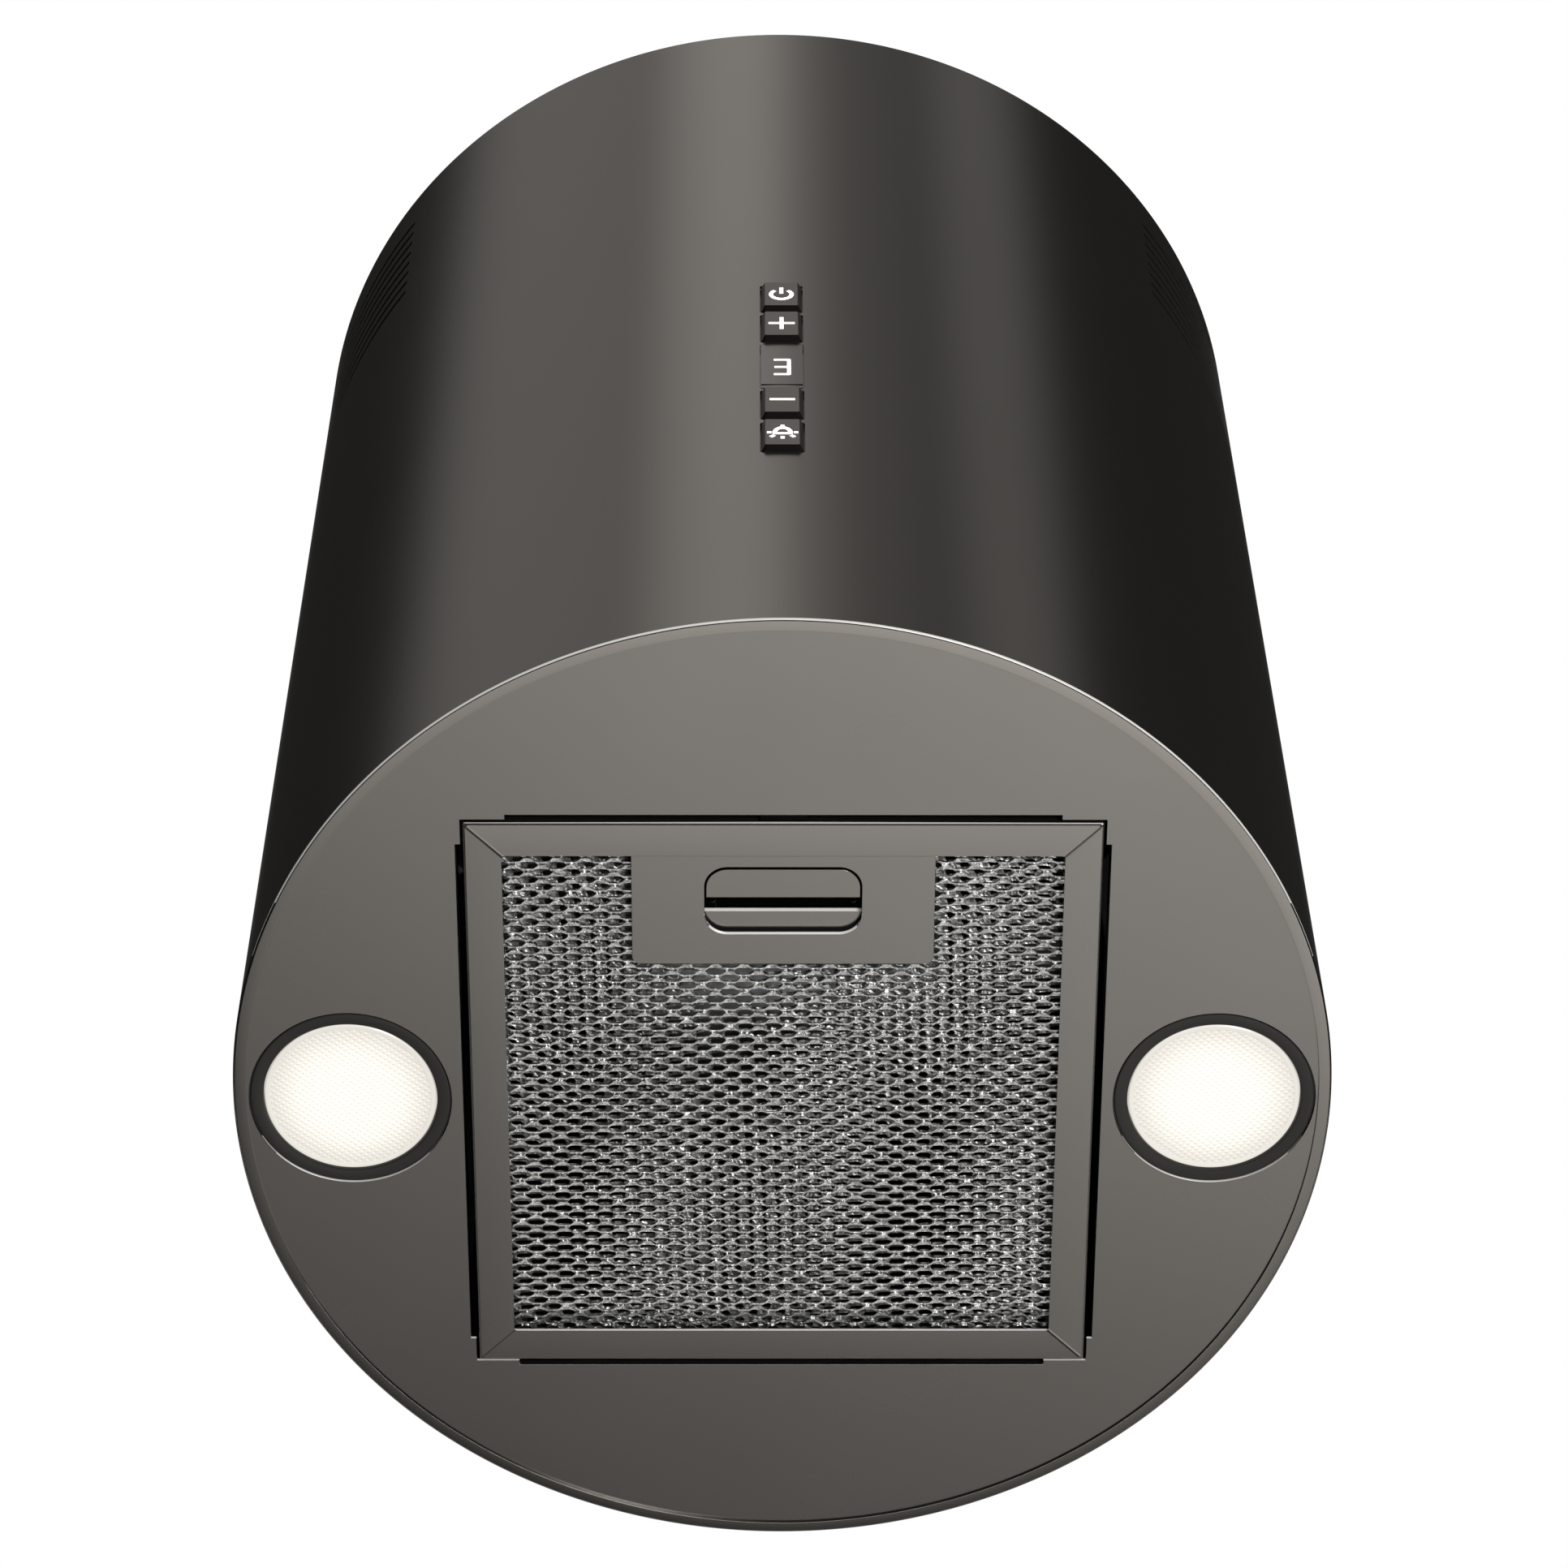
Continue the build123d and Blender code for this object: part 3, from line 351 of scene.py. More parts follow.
class Effects:
    """Shader node groups that several finishes share."""

    @staticmethod
    def _group(name: str, inputs: dict[str, float], outputs: dict[str, str]) -> bpy.types.NodeTree:
        """Make an empty group with its sockets.

        Args:
            name: The group's name.
            inputs: Float inputs with their defaults.
            outputs: Output names with their socket types.

        Returns:
            The node tree.
        """
        tree = bpy.data.node_groups.new(name, "ShaderNodeTree")
        for key, value in inputs.items():
            socket = tree.interface.new_socket(name=key, in_out="INPUT", socket_type="NodeSocketFloat")
            socket.default_value = value
        for key, kind in outputs.items():
            tree.interface.new_socket(name=key, in_out="OUTPUT", socket_type=kind)
        return tree

    @staticmethod
    def _maths(tree: bpy.types.NodeTree, operation: str, a: object, b: object) -> bpy.types.NodeSocket:
        """Add a maths node whose inputs are sockets or numbers.

        Args:
            tree: The tree to add to.
            operation: The node's operation.
            a: First input.
            b: Second input.

        Returns:
            The result socket.
        """
        node = tree.nodes.new("ShaderNodeMath")
        node.operation = operation
        for index, value in enumerate((a, b)):
            if isinstance(value, (int, float)):
                node.inputs[index].default_value = value
            else:
                tree.links.new(value, node.inputs[index])
        return node.outputs[0]

    @classmethod
    def grain(cls) -> bpy.types.NodeTree:
        """The fine flake, the soft smudges and the tiny dents of a coated or cast surface.

        Returns:
            A group that gives a tint near 1, a mottle from 0 to 1 and a height.
        """
        found = bpy.data.node_groups.get("surface_grain")
        if found:
            return found
        tree = cls._group(
            "surface_grain",
            {"Flake Scale": 2600.0, "Smudge Scale": 14.0, "Amount": 0.12},
            {"Tint": "NodeSocketFloat", "Mottle": "NodeSocketFloat", "Height": "NodeSocketFloat"},
        )
        start = tree.nodes.new("NodeGroupInput")
        end = tree.nodes.new("NodeGroupOutput")
        place = tree.nodes.new("ShaderNodeTexCoord").outputs["Object"]
        flake = tree.nodes.new("ShaderNodeTexNoise")
        smudge = tree.nodes.new("ShaderNodeTexNoise")
        smudge.inputs["Detail"].default_value = 4.0
        flake.inputs["Detail"].default_value = 2.0
        for node, key in ((flake, "Flake Scale"), (smudge, "Smudge Scale")):
            tree.links.new(place, node.inputs["Vector"])
            tree.links.new(start.outputs[key], node.inputs["Scale"])
        spread = cls._maths(tree, "SUBTRACT", flake.outputs["Fac"], 0.5)
        swing = cls._maths(tree, "MULTIPLY", spread, start.outputs["Amount"])
        tree.links.new(cls._maths(tree, "ADD", swing, 1.0), end.inputs["Tint"])
        tree.links.new(smudge.outputs["Fac"], end.inputs["Mottle"])
        tree.links.new(flake.outputs["Fac"], end.inputs["Height"])
        return tree

    @classmethod
    def brushed(cls) -> bpy.types.NodeTree:
        """Long fine scratches that run along one axis.

        Returns:
            A group that gives a tint near 1 and a height.
        """
        found = bpy.data.node_groups.get("brushed_lines")
        if found:
            return found
        tree = cls._group(
            "brushed_lines",
            {"Across X": 1800.0, "Across Y": 1800.0, "Across Z": 30.0, "Amount": 0.15},
            {"Tint": "NodeSocketFloat", "Height": "NodeSocketFloat"},
        )
        start = tree.nodes.new("NodeGroupInput")
        end = tree.nodes.new("NodeGroupOutput")
        place = tree.nodes.new("ShaderNodeTexCoord").outputs["Object"]
        pull = tree.nodes.new("ShaderNodeCombineXYZ")
        for axis in "XYZ":
            tree.links.new(start.outputs[f"Across {axis}"], pull.inputs[axis])
        scaled = tree.nodes.new("ShaderNodeVectorMath")
        scaled.operation = "MULTIPLY"
        tree.links.new(place, scaled.inputs[0])
        tree.links.new(pull.outputs[0], scaled.inputs[1])
        noise = tree.nodes.new("ShaderNodeTexNoise")
        noise.inputs["Scale"].default_value = 1.0
        noise.inputs["Detail"].default_value = 3.0
        tree.links.new(scaled.outputs[0], noise.inputs["Vector"])
        spread = cls._maths(tree, "SUBTRACT", noise.outputs["Fac"], 0.5)
        swing = cls._maths(tree, "MULTIPLY", spread, start.outputs["Amount"])
        tree.links.new(cls._maths(tree, "ADD", swing, 1.0), end.inputs["Tint"])
        tree.links.new(noise.outputs["Fac"], end.inputs["Height"])
        return tree


@dataclass(frozen=True)
class Finish:
    """A plain dielectric or metal surface with grain."""

    name: str
    colour: Colour
    metallic: float = 0.0
    roughness: float = 0.5
    mottle: float = 0.08
    flake: float = 2600.0
    smudge: float = 14.0
    tint: float = 0.12
    bump: float = 0.02
    coat: float = 0.0
    depth: float = 0.0002

    def _start(self) -> tuple[bpy.types.Material, bpy.types.Node]:
        """Make the material with its constants set.

        Returns:
            The material and its Principled node.
        """
        material = bpy.data.materials.new(self.name)
        material.use_nodes = True
        shader = material.node_tree.nodes["Principled BSDF"]
        shader.inputs["Base Color"].default_value = (*self.colour, 1.0)
        shader.inputs["Metallic"].default_value = self.metallic
        shader.inputs["Roughness"].default_value = self.roughness
        shader.inputs["Coat Weight"].default_value = self.coat
        return material, shader

    def _texture(self, material: bpy.types.Material) -> bpy.types.Node:
        """Place the shared texture group.

        Args:
            material: The material to add it to.

        Returns:
            The group node.
        """
        node = material.node_tree.nodes.new("ShaderNodeGroup")
        node.node_tree = Effects.grain()
        node.inputs["Flake Scale"].default_value = self.flake
        node.inputs["Smudge Scale"].default_value = self.smudge
        node.inputs["Amount"].default_value = self.tint
        return node

    def _wire(self, material: bpy.types.Material, shader: bpy.types.Node, group: bpy.types.Node) -> None:
        """Feed the group's values to the shader.

        Args:
            material: The material.
            shader: Its Principled node.
            group: The texture group node.
        """
        tree = material.node_tree
        mix = tree.nodes.new("ShaderNodeMix")
        mix.data_type = "RGBA"
        mix.blend_type = "MULTIPLY"
        mix.inputs["Factor"].default_value = 1.0
        mix.inputs["A"].default_value = (*self.colour, 1.0)
        tree.links.new(group.outputs["Tint"], mix.inputs["B"])
        tree.links.new(mix.outputs["Result"], shader.inputs["Base Color"])
        if "Mottle" in group.outputs:
            spread = tree.nodes.new("ShaderNodeMapRange")
            spread.inputs["To Min"].default_value = max(0.05, self.roughness - 2.5 * self.mottle)
            spread.inputs["To Max"].default_value = self.roughness + 2.5 * self.mottle
            tree.links.new(group.outputs["Mottle"], spread.inputs["Value"])
            tree.links.new(spread.outputs["Result"], shader.inputs["Roughness"])
        bump = tree.nodes.new("ShaderNodeBump")
        bump.inputs["Strength"].default_value = self.bump
        bump.inputs["Distance"].default_value = self.depth
        tree.links.new(group.outputs["Height"], bump.inputs["Height"])
        tree.links.new(bump.outputs["Normal"], shader.inputs["Normal"])

    def build(self) -> bpy.types.Material:
        """Build the material once and reuse it.

        Returns:
            The material.
        """
        found = bpy.data.materials.get(self.name)
        if found:
            return found
        material, shader = self._start()
        self._wire(material, shader, self._texture(material))
        return material


@dataclass(frozen=True)
class Brushed(Finish):
    """A metal with lines that run along one axis."""

    across: tuple[float, float, float] = (1800.0, 1800.0, 30.0)

    def _texture(self, material: bpy.types.Material) -> bpy.types.Node:
        """Place the brushed lines.

        Args:
            material: The material to add them to.

        Returns:
            The group node.
        """
        node = material.node_tree.nodes.new("ShaderNodeGroup")
        node.node_tree = Effects.brushed()
        for axis, value in zip("XYZ", self.across):
            node.inputs[f"Across {axis}"].default_value = value
        node.inputs["Amount"].default_value = self.tint
        return node


@dataclass(frozen=True)
class Glow(Finish):
    """A surface that gives light."""

    light: Colour = (1.0, 1.0, 1.0)
    strength: float = 1.0

    def build(self) -> bpy.types.Material:
        """Build the lit material.

        Returns:
            The material.
        """
        found = bpy.data.materials.get(self.name)
        if found:
            return found
        material, shader = self._start()
        self._wire(material, shader, self._texture(material))
        shader.inputs["Emission Color"].default_value = (*self.light, 1.0)
        shader.inputs["Emission Strength"].default_value = self.strength
        return material


@dataclass(frozen=True)
class LensGlow(Finish):
    """A lit lens that is brightest in the middle."""

    centre: tuple[float, float] = (0.0, 0.0)
    reach: float = 0.03
    light: Colour = (1.0, 0.955, 0.87)
    middle: float = 0.92
    rim: float = 0.62
    front: float = 1.12
    falloff: float = 0.75

    def build(self) -> bpy.types.Material:
        """Build the lit material.

        Returns:
            The material.
        """
        found = bpy.data.materials.get(self.name)
        if found:
            return found
        material, shader = self._start()
        self._wire(material, shader, self._texture(material))
        tree = material.node_tree
        split = tree.nodes.new("ShaderNodeSeparateXYZ")
        tree.links.new(tree.nodes.new("ShaderNodeTexCoord").outputs["Object"], split.inputs[0])
        maths = Effects._maths
        across = maths(tree, "SUBTRACT", split.outputs["X"], self.centre[0])
        along = maths(tree, "SUBTRACT", split.outputs["Y"], self.centre[1])
        across_squared = maths(tree, "MULTIPLY", across, across)
        along_squared = maths(tree, "MULTIPLY", along, along)
        square = maths(tree, "ADD", across_squared, along_squared)
        fade = tree.nodes.new("ShaderNodeMapRange")
        fade.interpolation_type = "SMOOTHSTEP"
        fade.inputs["From Min"].default_value = (0.35 * self.reach) ** 2
        fade.inputs["From Max"].default_value = self.reach**2
        fade.inputs["To Min"].default_value = self.middle
        fade.inputs["To Max"].default_value = self.rim
        tree.links.new(square, fade.inputs["Value"])
        facing = tree.nodes.new("ShaderNodeLayerWeight").outputs["Facing"]
        turned = maths(tree, "SUBTRACT", self.front, maths(tree, "MULTIPLY", facing, self.falloff))
        shader.inputs["Emission Color"].default_value = (*self.light, 1.0)
        strength = maths(tree, "MULTIPLY", fade.outputs["Result"], turned)
        tree.links.new(strength, shader.inputs["Emission Strength"])
        return material


GRAPHITE = Finish(
    "graphite_lacquer", (0.205, 0.194, 0.182), metallic=0.96, roughness=0.23, mottle=0.006, tint=0.10,
    bump=0.01,
)
PANEL = Finish(
    "graphite_panel", (0.205, 0.196, 0.185), metallic=0.96, roughness=0.27, mottle=0.006, tint=0.10,
    bump=0.01,
)
FILTER = Finish(
    "graphite_filter", (0.215, 0.206, 0.195), metallic=0.96, roughness=0.27, mottle=0.006, tint=0.10,
    bump=0.01,
)
KEYS = Finish(
    "graphite_keys", (0.16, 0.15, 0.14), metallic=0.75, roughness=0.32, mottle=0.03, tint=0.08,
    bump=0.01,
)
MESH = Brushed(
    "expanded_aluminium", (0.70, 0.70, 0.69), metallic=1.0, roughness=0.24, tint=1.3, bump=0.9,
    depth=0.0009, across=(480.0, 560.0, 560.0),
)
BLACK = Finish("black_trim", (0.018, 0.017, 0.016), roughness=0.42, tint=0.2)
SMOKED = Finish(
    "smoked_window", (0.13, 0.122, 0.112), metallic=0.6, roughness=0.22, mottle=0.02, coat=0.4,
    tint=0.05,
)
LENS = Glow(
    "prismatic_lens", (0.9, 0.88, 0.82), roughness=0.25, light=(1.0, 0.93, 0.80), strength=0.9,
    tint=0.05,
)
# Painted shade: a darker copy of the expanded aluminium for the upper mesh layer, which sits in the lower
# layer's shade.
MESH_PAINTED_SHADE = Brushed(
    "expanded_aluminium_upper_painted_shade", (0.48, 0.48, 0.47), metallic=1.0, roughness=0.32, tint=1.2, bump=0.8,
    depth=0.0008, across=(480.0, 560.0, 560.0),
)
# Painted highlight: a near-white finish put on the edges that face the front and down, where the light
# catches them.
EDGE = Finish(
    "painted_edge_highlight", (0.94, 0.92, 0.89), metallic=0.1, roughness=0.40, mottle=0.02, tint=0.03,
    bump=0.01,
)
# Painted shade: a near-black finish for faces that stand in shade, namely the keys' bottom tapers, the
# pocket's inside, the latch's hidden faces and the line under the window's lip.
PAINTED_SHADE = Finish(
    "painted_shade_black", (0.006, 0.005, 0.004), metallic=0.9, roughness=0.6, mottle=0.02, tint=0.05, bump=0.01,
)
# Painted shade: a darker copy of the key finish for the keys' sides.
KEY_SIDE_PAINTED_SHADE = Finish(
    "key_side_painted_shade", (0.07, 0.065, 0.06), metallic=0.6, roughness=0.35, mottle=0.02, tint=0.05, bump=0.01,
)
ICON = Glow("lit_icon", (0.9, 0.9, 0.9), roughness=0.5, light=(1.0, 0.965, 0.90), strength=1.05, tint=0.02)


@dataclass(frozen=True)
class NodeFinishes:
    """The finishes of the CAD nodes that stay as they are, by material slot."""

    table: dict[str, Finish] = field(
        default_factory=lambda: {
            "tube_metal": GRAPHITE,
            "panel_metal": PANEL,
            "filter_metal": FILTER,
            "latch_metal": FILTER,
            "mesh_aluminium": MESH,
            "button_plastic": KEYS,
            "bezel_plastic": BLACK,
            "window_plastic": SMOKED,
            "lens_plastic": LENS,
            "galvanised": Finish(
                "galvanised_sheet", (0.50, 0.52, 0.53), metallic=1.0, roughness=0.42, mottle=0.14,
                smudge=55.0, tint=0.3, flake=420.0, bump=0.03,
            ),
            "frame_steel": Brushed(
                "plated_steel", (0.46, 0.48, 0.49), metallic=1.0, roughness=0.36, tint=0.15,
            ),
            "fastener_steel": Finish(
                "zinc_fasteners", (0.60, 0.60, 0.58), metallic=1.0, roughness=0.30, tint=0.1,
            ),
            "dark_screw": Finish(
                "dark_fasteners", (0.10, 0.095, 0.09), metallic=0.9, roughness=0.35, tint=0.1,
            ),
            "spring_steel": Brushed(
                "oiled_spring_steel", (0.03, 0.03, 0.03), metallic=0.8, roughness=0.5, tint=0.1,
            ),
            "shaft_steel": Brushed(
                "ground_steel", (0.62, 0.62, 0.62), metallic=1.0, roughness=0.18, tint=0.1,
                across=(60.0, 2000.0, 2000.0),
            ),
            "rotor_metal": Finish(
                "cast_rotor", (0.48, 0.48, 0.49), metallic=1.0, roughness=0.45, tint=0.2, flake=900.0,
            ),
            "stator_steel": Brushed(
                "stator_laminations", (0.22, 0.22, 0.23), metallic=1.0, roughness=0.45, tint=0.5,
                across=(2400.0, 8.0, 8.0), bump=0.2,
            ),
            "copper": Brushed(
                "enamelled_copper", (0.60, 0.24, 0.08), metallic=0.9, roughness=0.28, tint=0.5,
                across=(1500.0, 12.0, 12.0), bump=0.3,
            ),
            "motor_shell": Brushed(
                "motor_shell", (0.58, 0.59, 0.60), metallic=1.0, roughness=0.34, tint=0.12,
                across=(1600.0, 20.0, 20.0),
            ),
            "bush_rubber": Finish("bush_rubber", (0.025, 0.025, 0.025), roughness=0.75, tint=0.2),
            "impeller_plastic": Finish(
                "impeller_plastic", (0.035, 0.035, 0.038), roughness=0.48, tint=0.2, flake=1400.0,
                bump=0.04,
            ),
            "collar_plastic": Finish(
                "collar_plastic", (0.028, 0.028, 0.03), roughness=0.5, tint=0.2, flake=1400.0,
                bump=0.05,
            ),
            "flap_plastic": Finish(
                "flap_plastic", (0.07, 0.07, 0.075), roughness=0.5, tint=0.2, flake=1400.0, bump=0.05,
            ),
            "box_plastic": Finish(
                "box_plastic", (0.62, 0.62, 0.59), roughness=0.55, tint=0.06, flake=1400.0, bump=0.05,
            ),
            "carrier_plastic": Finish("carrier_plastic", (0.02, 0.02, 0.022), roughness=0.55, tint=0.2),
            "board_green": Finish(
                "board_green", (0.012, 0.10, 0.035), roughness=0.32, tint=0.3, flake=900.0, coat=0.3,
            ),
            "terminal_plastic": Finish("terminal_plastic", (0.75, 0.75, 0.70), roughness=0.4, tint=0.05),
            "gland_plastic": Finish("gland_plastic", (0.03, 0.03, 0.03), roughness=0.5, tint=0.2),
            "cable_jacket": Finish("cable_jacket", (0.03, 0.03, 0.032), roughness=0.55, tint=0.2),
            "switch_plastic": Finish("switch_plastic", (0.02, 0.02, 0.02), roughness=0.35, tint=0.2),
            "display_plastic": Finish("display_plastic", (0.02, 0.02, 0.022), roughness=0.3, tint=0.2),
            "led_board": Finish("led_board", (0.80, 0.80, 0.77), roughness=0.4, tint=0.05),
            "heat_sink": Finish(
                "cast_heat_sink", (0.42, 0.42, 0.43), metallic=1.0, roughness=0.5, tint=0.25,
                flake=800.0, bump=0.08,
            ),
        }
    )

    def dress(self) -> None:
        """Give every CAD node the finish of its slot."""
        slots = {part["node"]: part["material_slot"] for part in frame["record"]["subparts"]}
        for node, piece in frame["nodes"].items():
            material = self.table[slots[node]].build()
            for place in piece.material_slots:
                place.material = material
            log.info("%s: dressed as %s", node, material.name)


# ------------------------------------------------------------------ sub-assemblies


class Sheet:
    """Moves for sheet metal and moulded pieces."""

    @staticmethod
    def rounded(
        low: Sequence[float],
        high: Sequence[float],
        axis: int,
        radius: float,
        name: str,
        segments: int = 6,
    ) -> bpy.types.Object:
        """Make a block whose four edges along one axis are rounded.

        Args:
            low: The lowest corner in millimetres.
            high: The highest corner in millimetres.
            axis: 0, 1 or 2, the axis that the rounded edges follow.
            radius: Their radius in millimetres.
            name: The new object's name.
            segments: How many facets each rounding has.

        Returns:
            The block.
        """
        piece = Bench.block(low, high, name)
        middle = (low[axis] + high[axis]) / 2 * MM
        reach = (high[axis] - low[axis]) * MM * 0.1
        Bench.pick(piece, "EDGE", lambda p: abs(p[axis] - middle) < reach)
        bpy.ops.mesh.bevel(offset=radius * MM, segments=segments, profile=0.5, affect="EDGES")
        Bench.done()
        return piece

    @staticmethod
    def framed(stations: Sequence[tuple[float, float, float]], name: str) -> bpy.types.Object:
        """Make a closed rectangular ring from half-width, half-depth and height stations.

        Args:
            stations: The profile's corners in millimetres, in order.
            name: The new object's name.

        Returns:
            The ring.
        """
        last = stations[0]
        piece = Bench.loop(4, math.sqrt(2.0), (0, 0, last[2]), name, 45.0)
        Bench.edit(piece, "EDGE")
        bpy.ops.mesh.select_all(action="SELECT")
        Bench.resize((last[0], last[1], 1), (0, 0, last[2]))
        for station in stations[1:]:
            Bench.grow((0, 0, station[2] - last[2]))
            if station[:2] != last[:2]:
                Bench.resize((station[0] / last[0], station[1] / last[1], 1), (0, 0, station[2]))
            last = station
        Sheet.close(piece)
        return piece

    @staticmethod
    def close(piece: bpy.types.Object) -> None:
        """Bridge the two open loops of a piece in edit mode and turn its faces outward."""
        bpy.ops.mesh.select_all(action="DESELECT")
        mesh = bmesh.from_edit_mesh(piece.data)
        for edge in mesh.edges:
            edge.select_set(edge.is_boundary)
        bmesh.update_edit_mesh(piece.data)
        bpy.ops.mesh.bridge_edge_loops()
        bpy.ops.mesh.select_all(action="SELECT")
        bpy.ops.mesh.normals_make_consistent(inside=False)
        Bench.done()

    @staticmethod
    def capped(
        stations: Sequence[tuple[float, float]], centre: Sequence[float], sides: int, name: str
    ) -> bpy.types.Object:
        """Make a round solid from stations, closed at both ends.

        Args:
            stations: Pairs of radius and height in millimetres.
            centre: The X and Y of the axis in millimetres.
            sides: How many sides it has.
            name: The new object's name.

        Returns:
            The solid.
        """
        piece = Bench.turned_profile(stations, centre, sides, name, closed=False)
        Bench.edit(piece, "EDGE")
        bpy.ops.mesh.select_all(action="SELECT")
        bpy.ops.mesh.fill_holes(sides=0)
        bpy.ops.mesh.select_all(action="SELECT")
        bpy.ops.mesh.normals_make_consistent(inside=False)
        Bench.done()
        return piece

    @staticmethod
    def recoat(piece: bpy.types.Object, finish: Finish, test: Callable[[Vector, Vector], bool]) -> None:
        """Give the faces that pass a test another finish.

        Args:
            piece: A finished piece.
            finish: The finish of those faces.
            test: Takes a face's middle and its normal.
        """
        piece.data.materials.append(finish.build())
        index = len(piece.data.materials) - 1
        for face in piece.data.polygons:
            if test(face.center, face.normal):
                face.material_index = index


@dataclass
class TubeShell:
    """The one-piece outer tube with its rim, its vents and the openings for the keys."""

    radius: float = 195.0
    wall: float = 1.0
    top: float = -0.5
    rim: float = -508.0
    lip: float = 190.5
    vents: int = 8
    vent_top: float = -26.0
    vent_pitch: float = 9.6
    vent_height: float = 3.0
    vent_angle: float = 38.0
    sides: int = 360
    screw_bearings: tuple[int, ...] = (30, 90, 150)
    screw_z: float = -12.0
    screw_hole: float = 2.3

    def _skin(self) -> bpy.types.Object:
        """Raise the outer skin from the rim's lip to the top.

        Returns:
            The open skin.
        """
        r, z = self.radius, self.rim
        stations = [(self.lip, z), (r - 0.9, z), (r - 0.45, z + 0.12), (r - 0.13, z + 0.45), (r, z + 0.9)]
        stations += [(r, -420.0), (r, -240.0)]
        for row in reversed(range(self.vents)):
            middle = self.vent_top - row * self.vent_pitch
            stations += [(r, middle - self.vent_height / 2), (r, middle + self.vent_height / 2)]
        stations.append((r, self.top))
        return Bench.turned_profile(stations, (0, 0), self.sides, "tube_shell", closed=False)

    def _open_vents(self, piece: bpy.types.Object) -> None:
        """Delete the skin's faces at the slots.

        Args:
            piece: The skin.
        """
        middles = [self.vent_top - row * self.vent_pitch for row in range(self.vents)]
        limit = math.tan(math.radians(self.vent_angle))

        def in_slot(p: Vector) -> bool:
            level = any(abs(p.z / MM - m) < 0.5 for m in middles)
            return level and abs(p.y) < abs(p.x) * limit

        Bench.pick(piece, "FACE", in_slot)
        bpy.ops.mesh.delete(type="FACE")
        Bench.done()

    def build(self) -> None:
        """Build the tube."""
        piece = self._skin()
        self._open_vents(piece)
        Bench.modifier(
            piece, "SOLIDIFY", thickness=self.wall * MM, offset=-1.0, use_even_offset=True, use_rim=True
        )
        half = KeyColumn.width / 2 + KeyColumn.gap
        tall = KeyColumn.height / 2 + KeyColumn.gap
        openings = [(z - tall, z + tall) for z in KeyColumn.places.values()]
        tall = KeyColumn.window_height / 2 + 0.2
        openings.append((KeyColumn.window_z - tall - 0.7, KeyColumn.window_z + tall))
        for low, high in openings:
            cutter = Sheet.rounded((-half, -205, low), (half, -187, high), 1, 0.9, "cutter", 4)
            Bench.cut(piece, cutter)
        for bearing in self.screw_bearings:
            turn = math.radians(bearing)
            Bench.clear()
            bpy.ops.mesh.primitive_cylinder_add(
                vertices=24, radius=self.screw_hole * MM, depth=8 * MM,
                location=(
                    self.radius * MM * math.cos(turn), self.radius * MM * math.sin(turn), self.screw_z * MM
                ),
                rotation=(0.0, math.pi / 2, turn),
            )
            Bench.cut(piece, Bench.settle(bpy.context.object))
        Bench.bevel(piece, 0.18, 1, 50)
        Bench.finish(piece, "tube_shell", "hood", GRAPHITE.build(), "tube_metal", ["outer_tube"], 35)
        # Painted highlight: faces at the rim's foot that face down and to the front get the near-white edge
        # finish.
        Sheet.recoat(piece, EDGE, lambda c, n: c.z < -0.50705 and n.y < -0.3 and -0.99 < n.z < -0.1)


@dataclass
class BaffleFloor:
    """The round sheet that closes the tube's foot, with its openings and folds."""

    radius: float = 193.6
    low: float = -507.0
    high: float = -506.0
    fold: float = -495.0
    hole_x: float = 113.5
    hole_y: float = 117.5
    lamp_x: float = 153.5
    lamp_hole: float = 36.0

    def _cutters(self) -> list[bpy.types.Object]:
        """Make the cutters of every opening.

        Returns:
            The cutters.
        """
        z0, z1 = self.low - 2, self.high + 1
        cutters = [
            Bench.block((-x, -y, z0), (x, y, z1), "cutter")
            for x, y in ((96, self.hole_y), (111.5, 115.5), (self.hole_x, 105.5))
        ]
        for side in (-1, 1):
            Bench.clear()
            bpy.ops.mesh.primitive_cylinder_add(
                vertices=160, radius=self.lamp_hole * MM, depth=6 * MM,
                location=(side * self.lamp_x * MM, 0, self.low * MM),
            )
            cutters.append(Bench.settle(bpy.context.object))
        return cutters

    def _folds(self) -> list[bpy.types.Object]:
        """Make the four folded edges with their notches.

        Returns:
            The folds.
        """
        folds = []
        for side in (-1, 1):
            x0, x1 = sorted((side * self.hole_x, side * (self.hole_x + 1.0)))
            folds.append(Bench.block((x0, -105.5, self.low + 0.02), (x1, 105.5, self.fold), "fold"))
            y0, y1 = sorted((side * self.hole_y, side * (self.hole_y + 1.0)))
            wall = Bench.block((-96, y0, self.low + 0.02), (96, y1, self.fold), "fold")
            if side > 0:
                for x in (-70, 70):
                    Bench.cut(wall, Bench.block((x - 9, 115, -500.6), (x + 9, 121, -490), "cutter"))
            else:
                Bench.cut(wall, Bench.block((-10, -121, -506.0), (10, -115, -502.8), "cutter"))
            folds.append(wall)
        return folds

    def build(self) -> None:
        """Build the sheet."""
        piece = Sheet.capped([(self.radius, self.low), (self.radius, self.high)], (0, 0), 360, "baffle_floor")
        for cutter in self._cutters():
            Bench.cut(piece, cutter)
        Bench.bevel(piece, 0.14, 1, 50)
        piece = Bench.join([piece, *self._folds()])
        Bench.finish(piece, "baffle_floor", "hood", PANEL.build(), "panel_metal", ["bottom_panel"], 30)
        # Painted highlight: the front-facing edges of the openings and folds get the near-white edge finish.
        Sheet.recoat(piece, EDGE, lambda c, n: n.y < -0.45 and c.z < -0.5059 and c.y < 0.12)


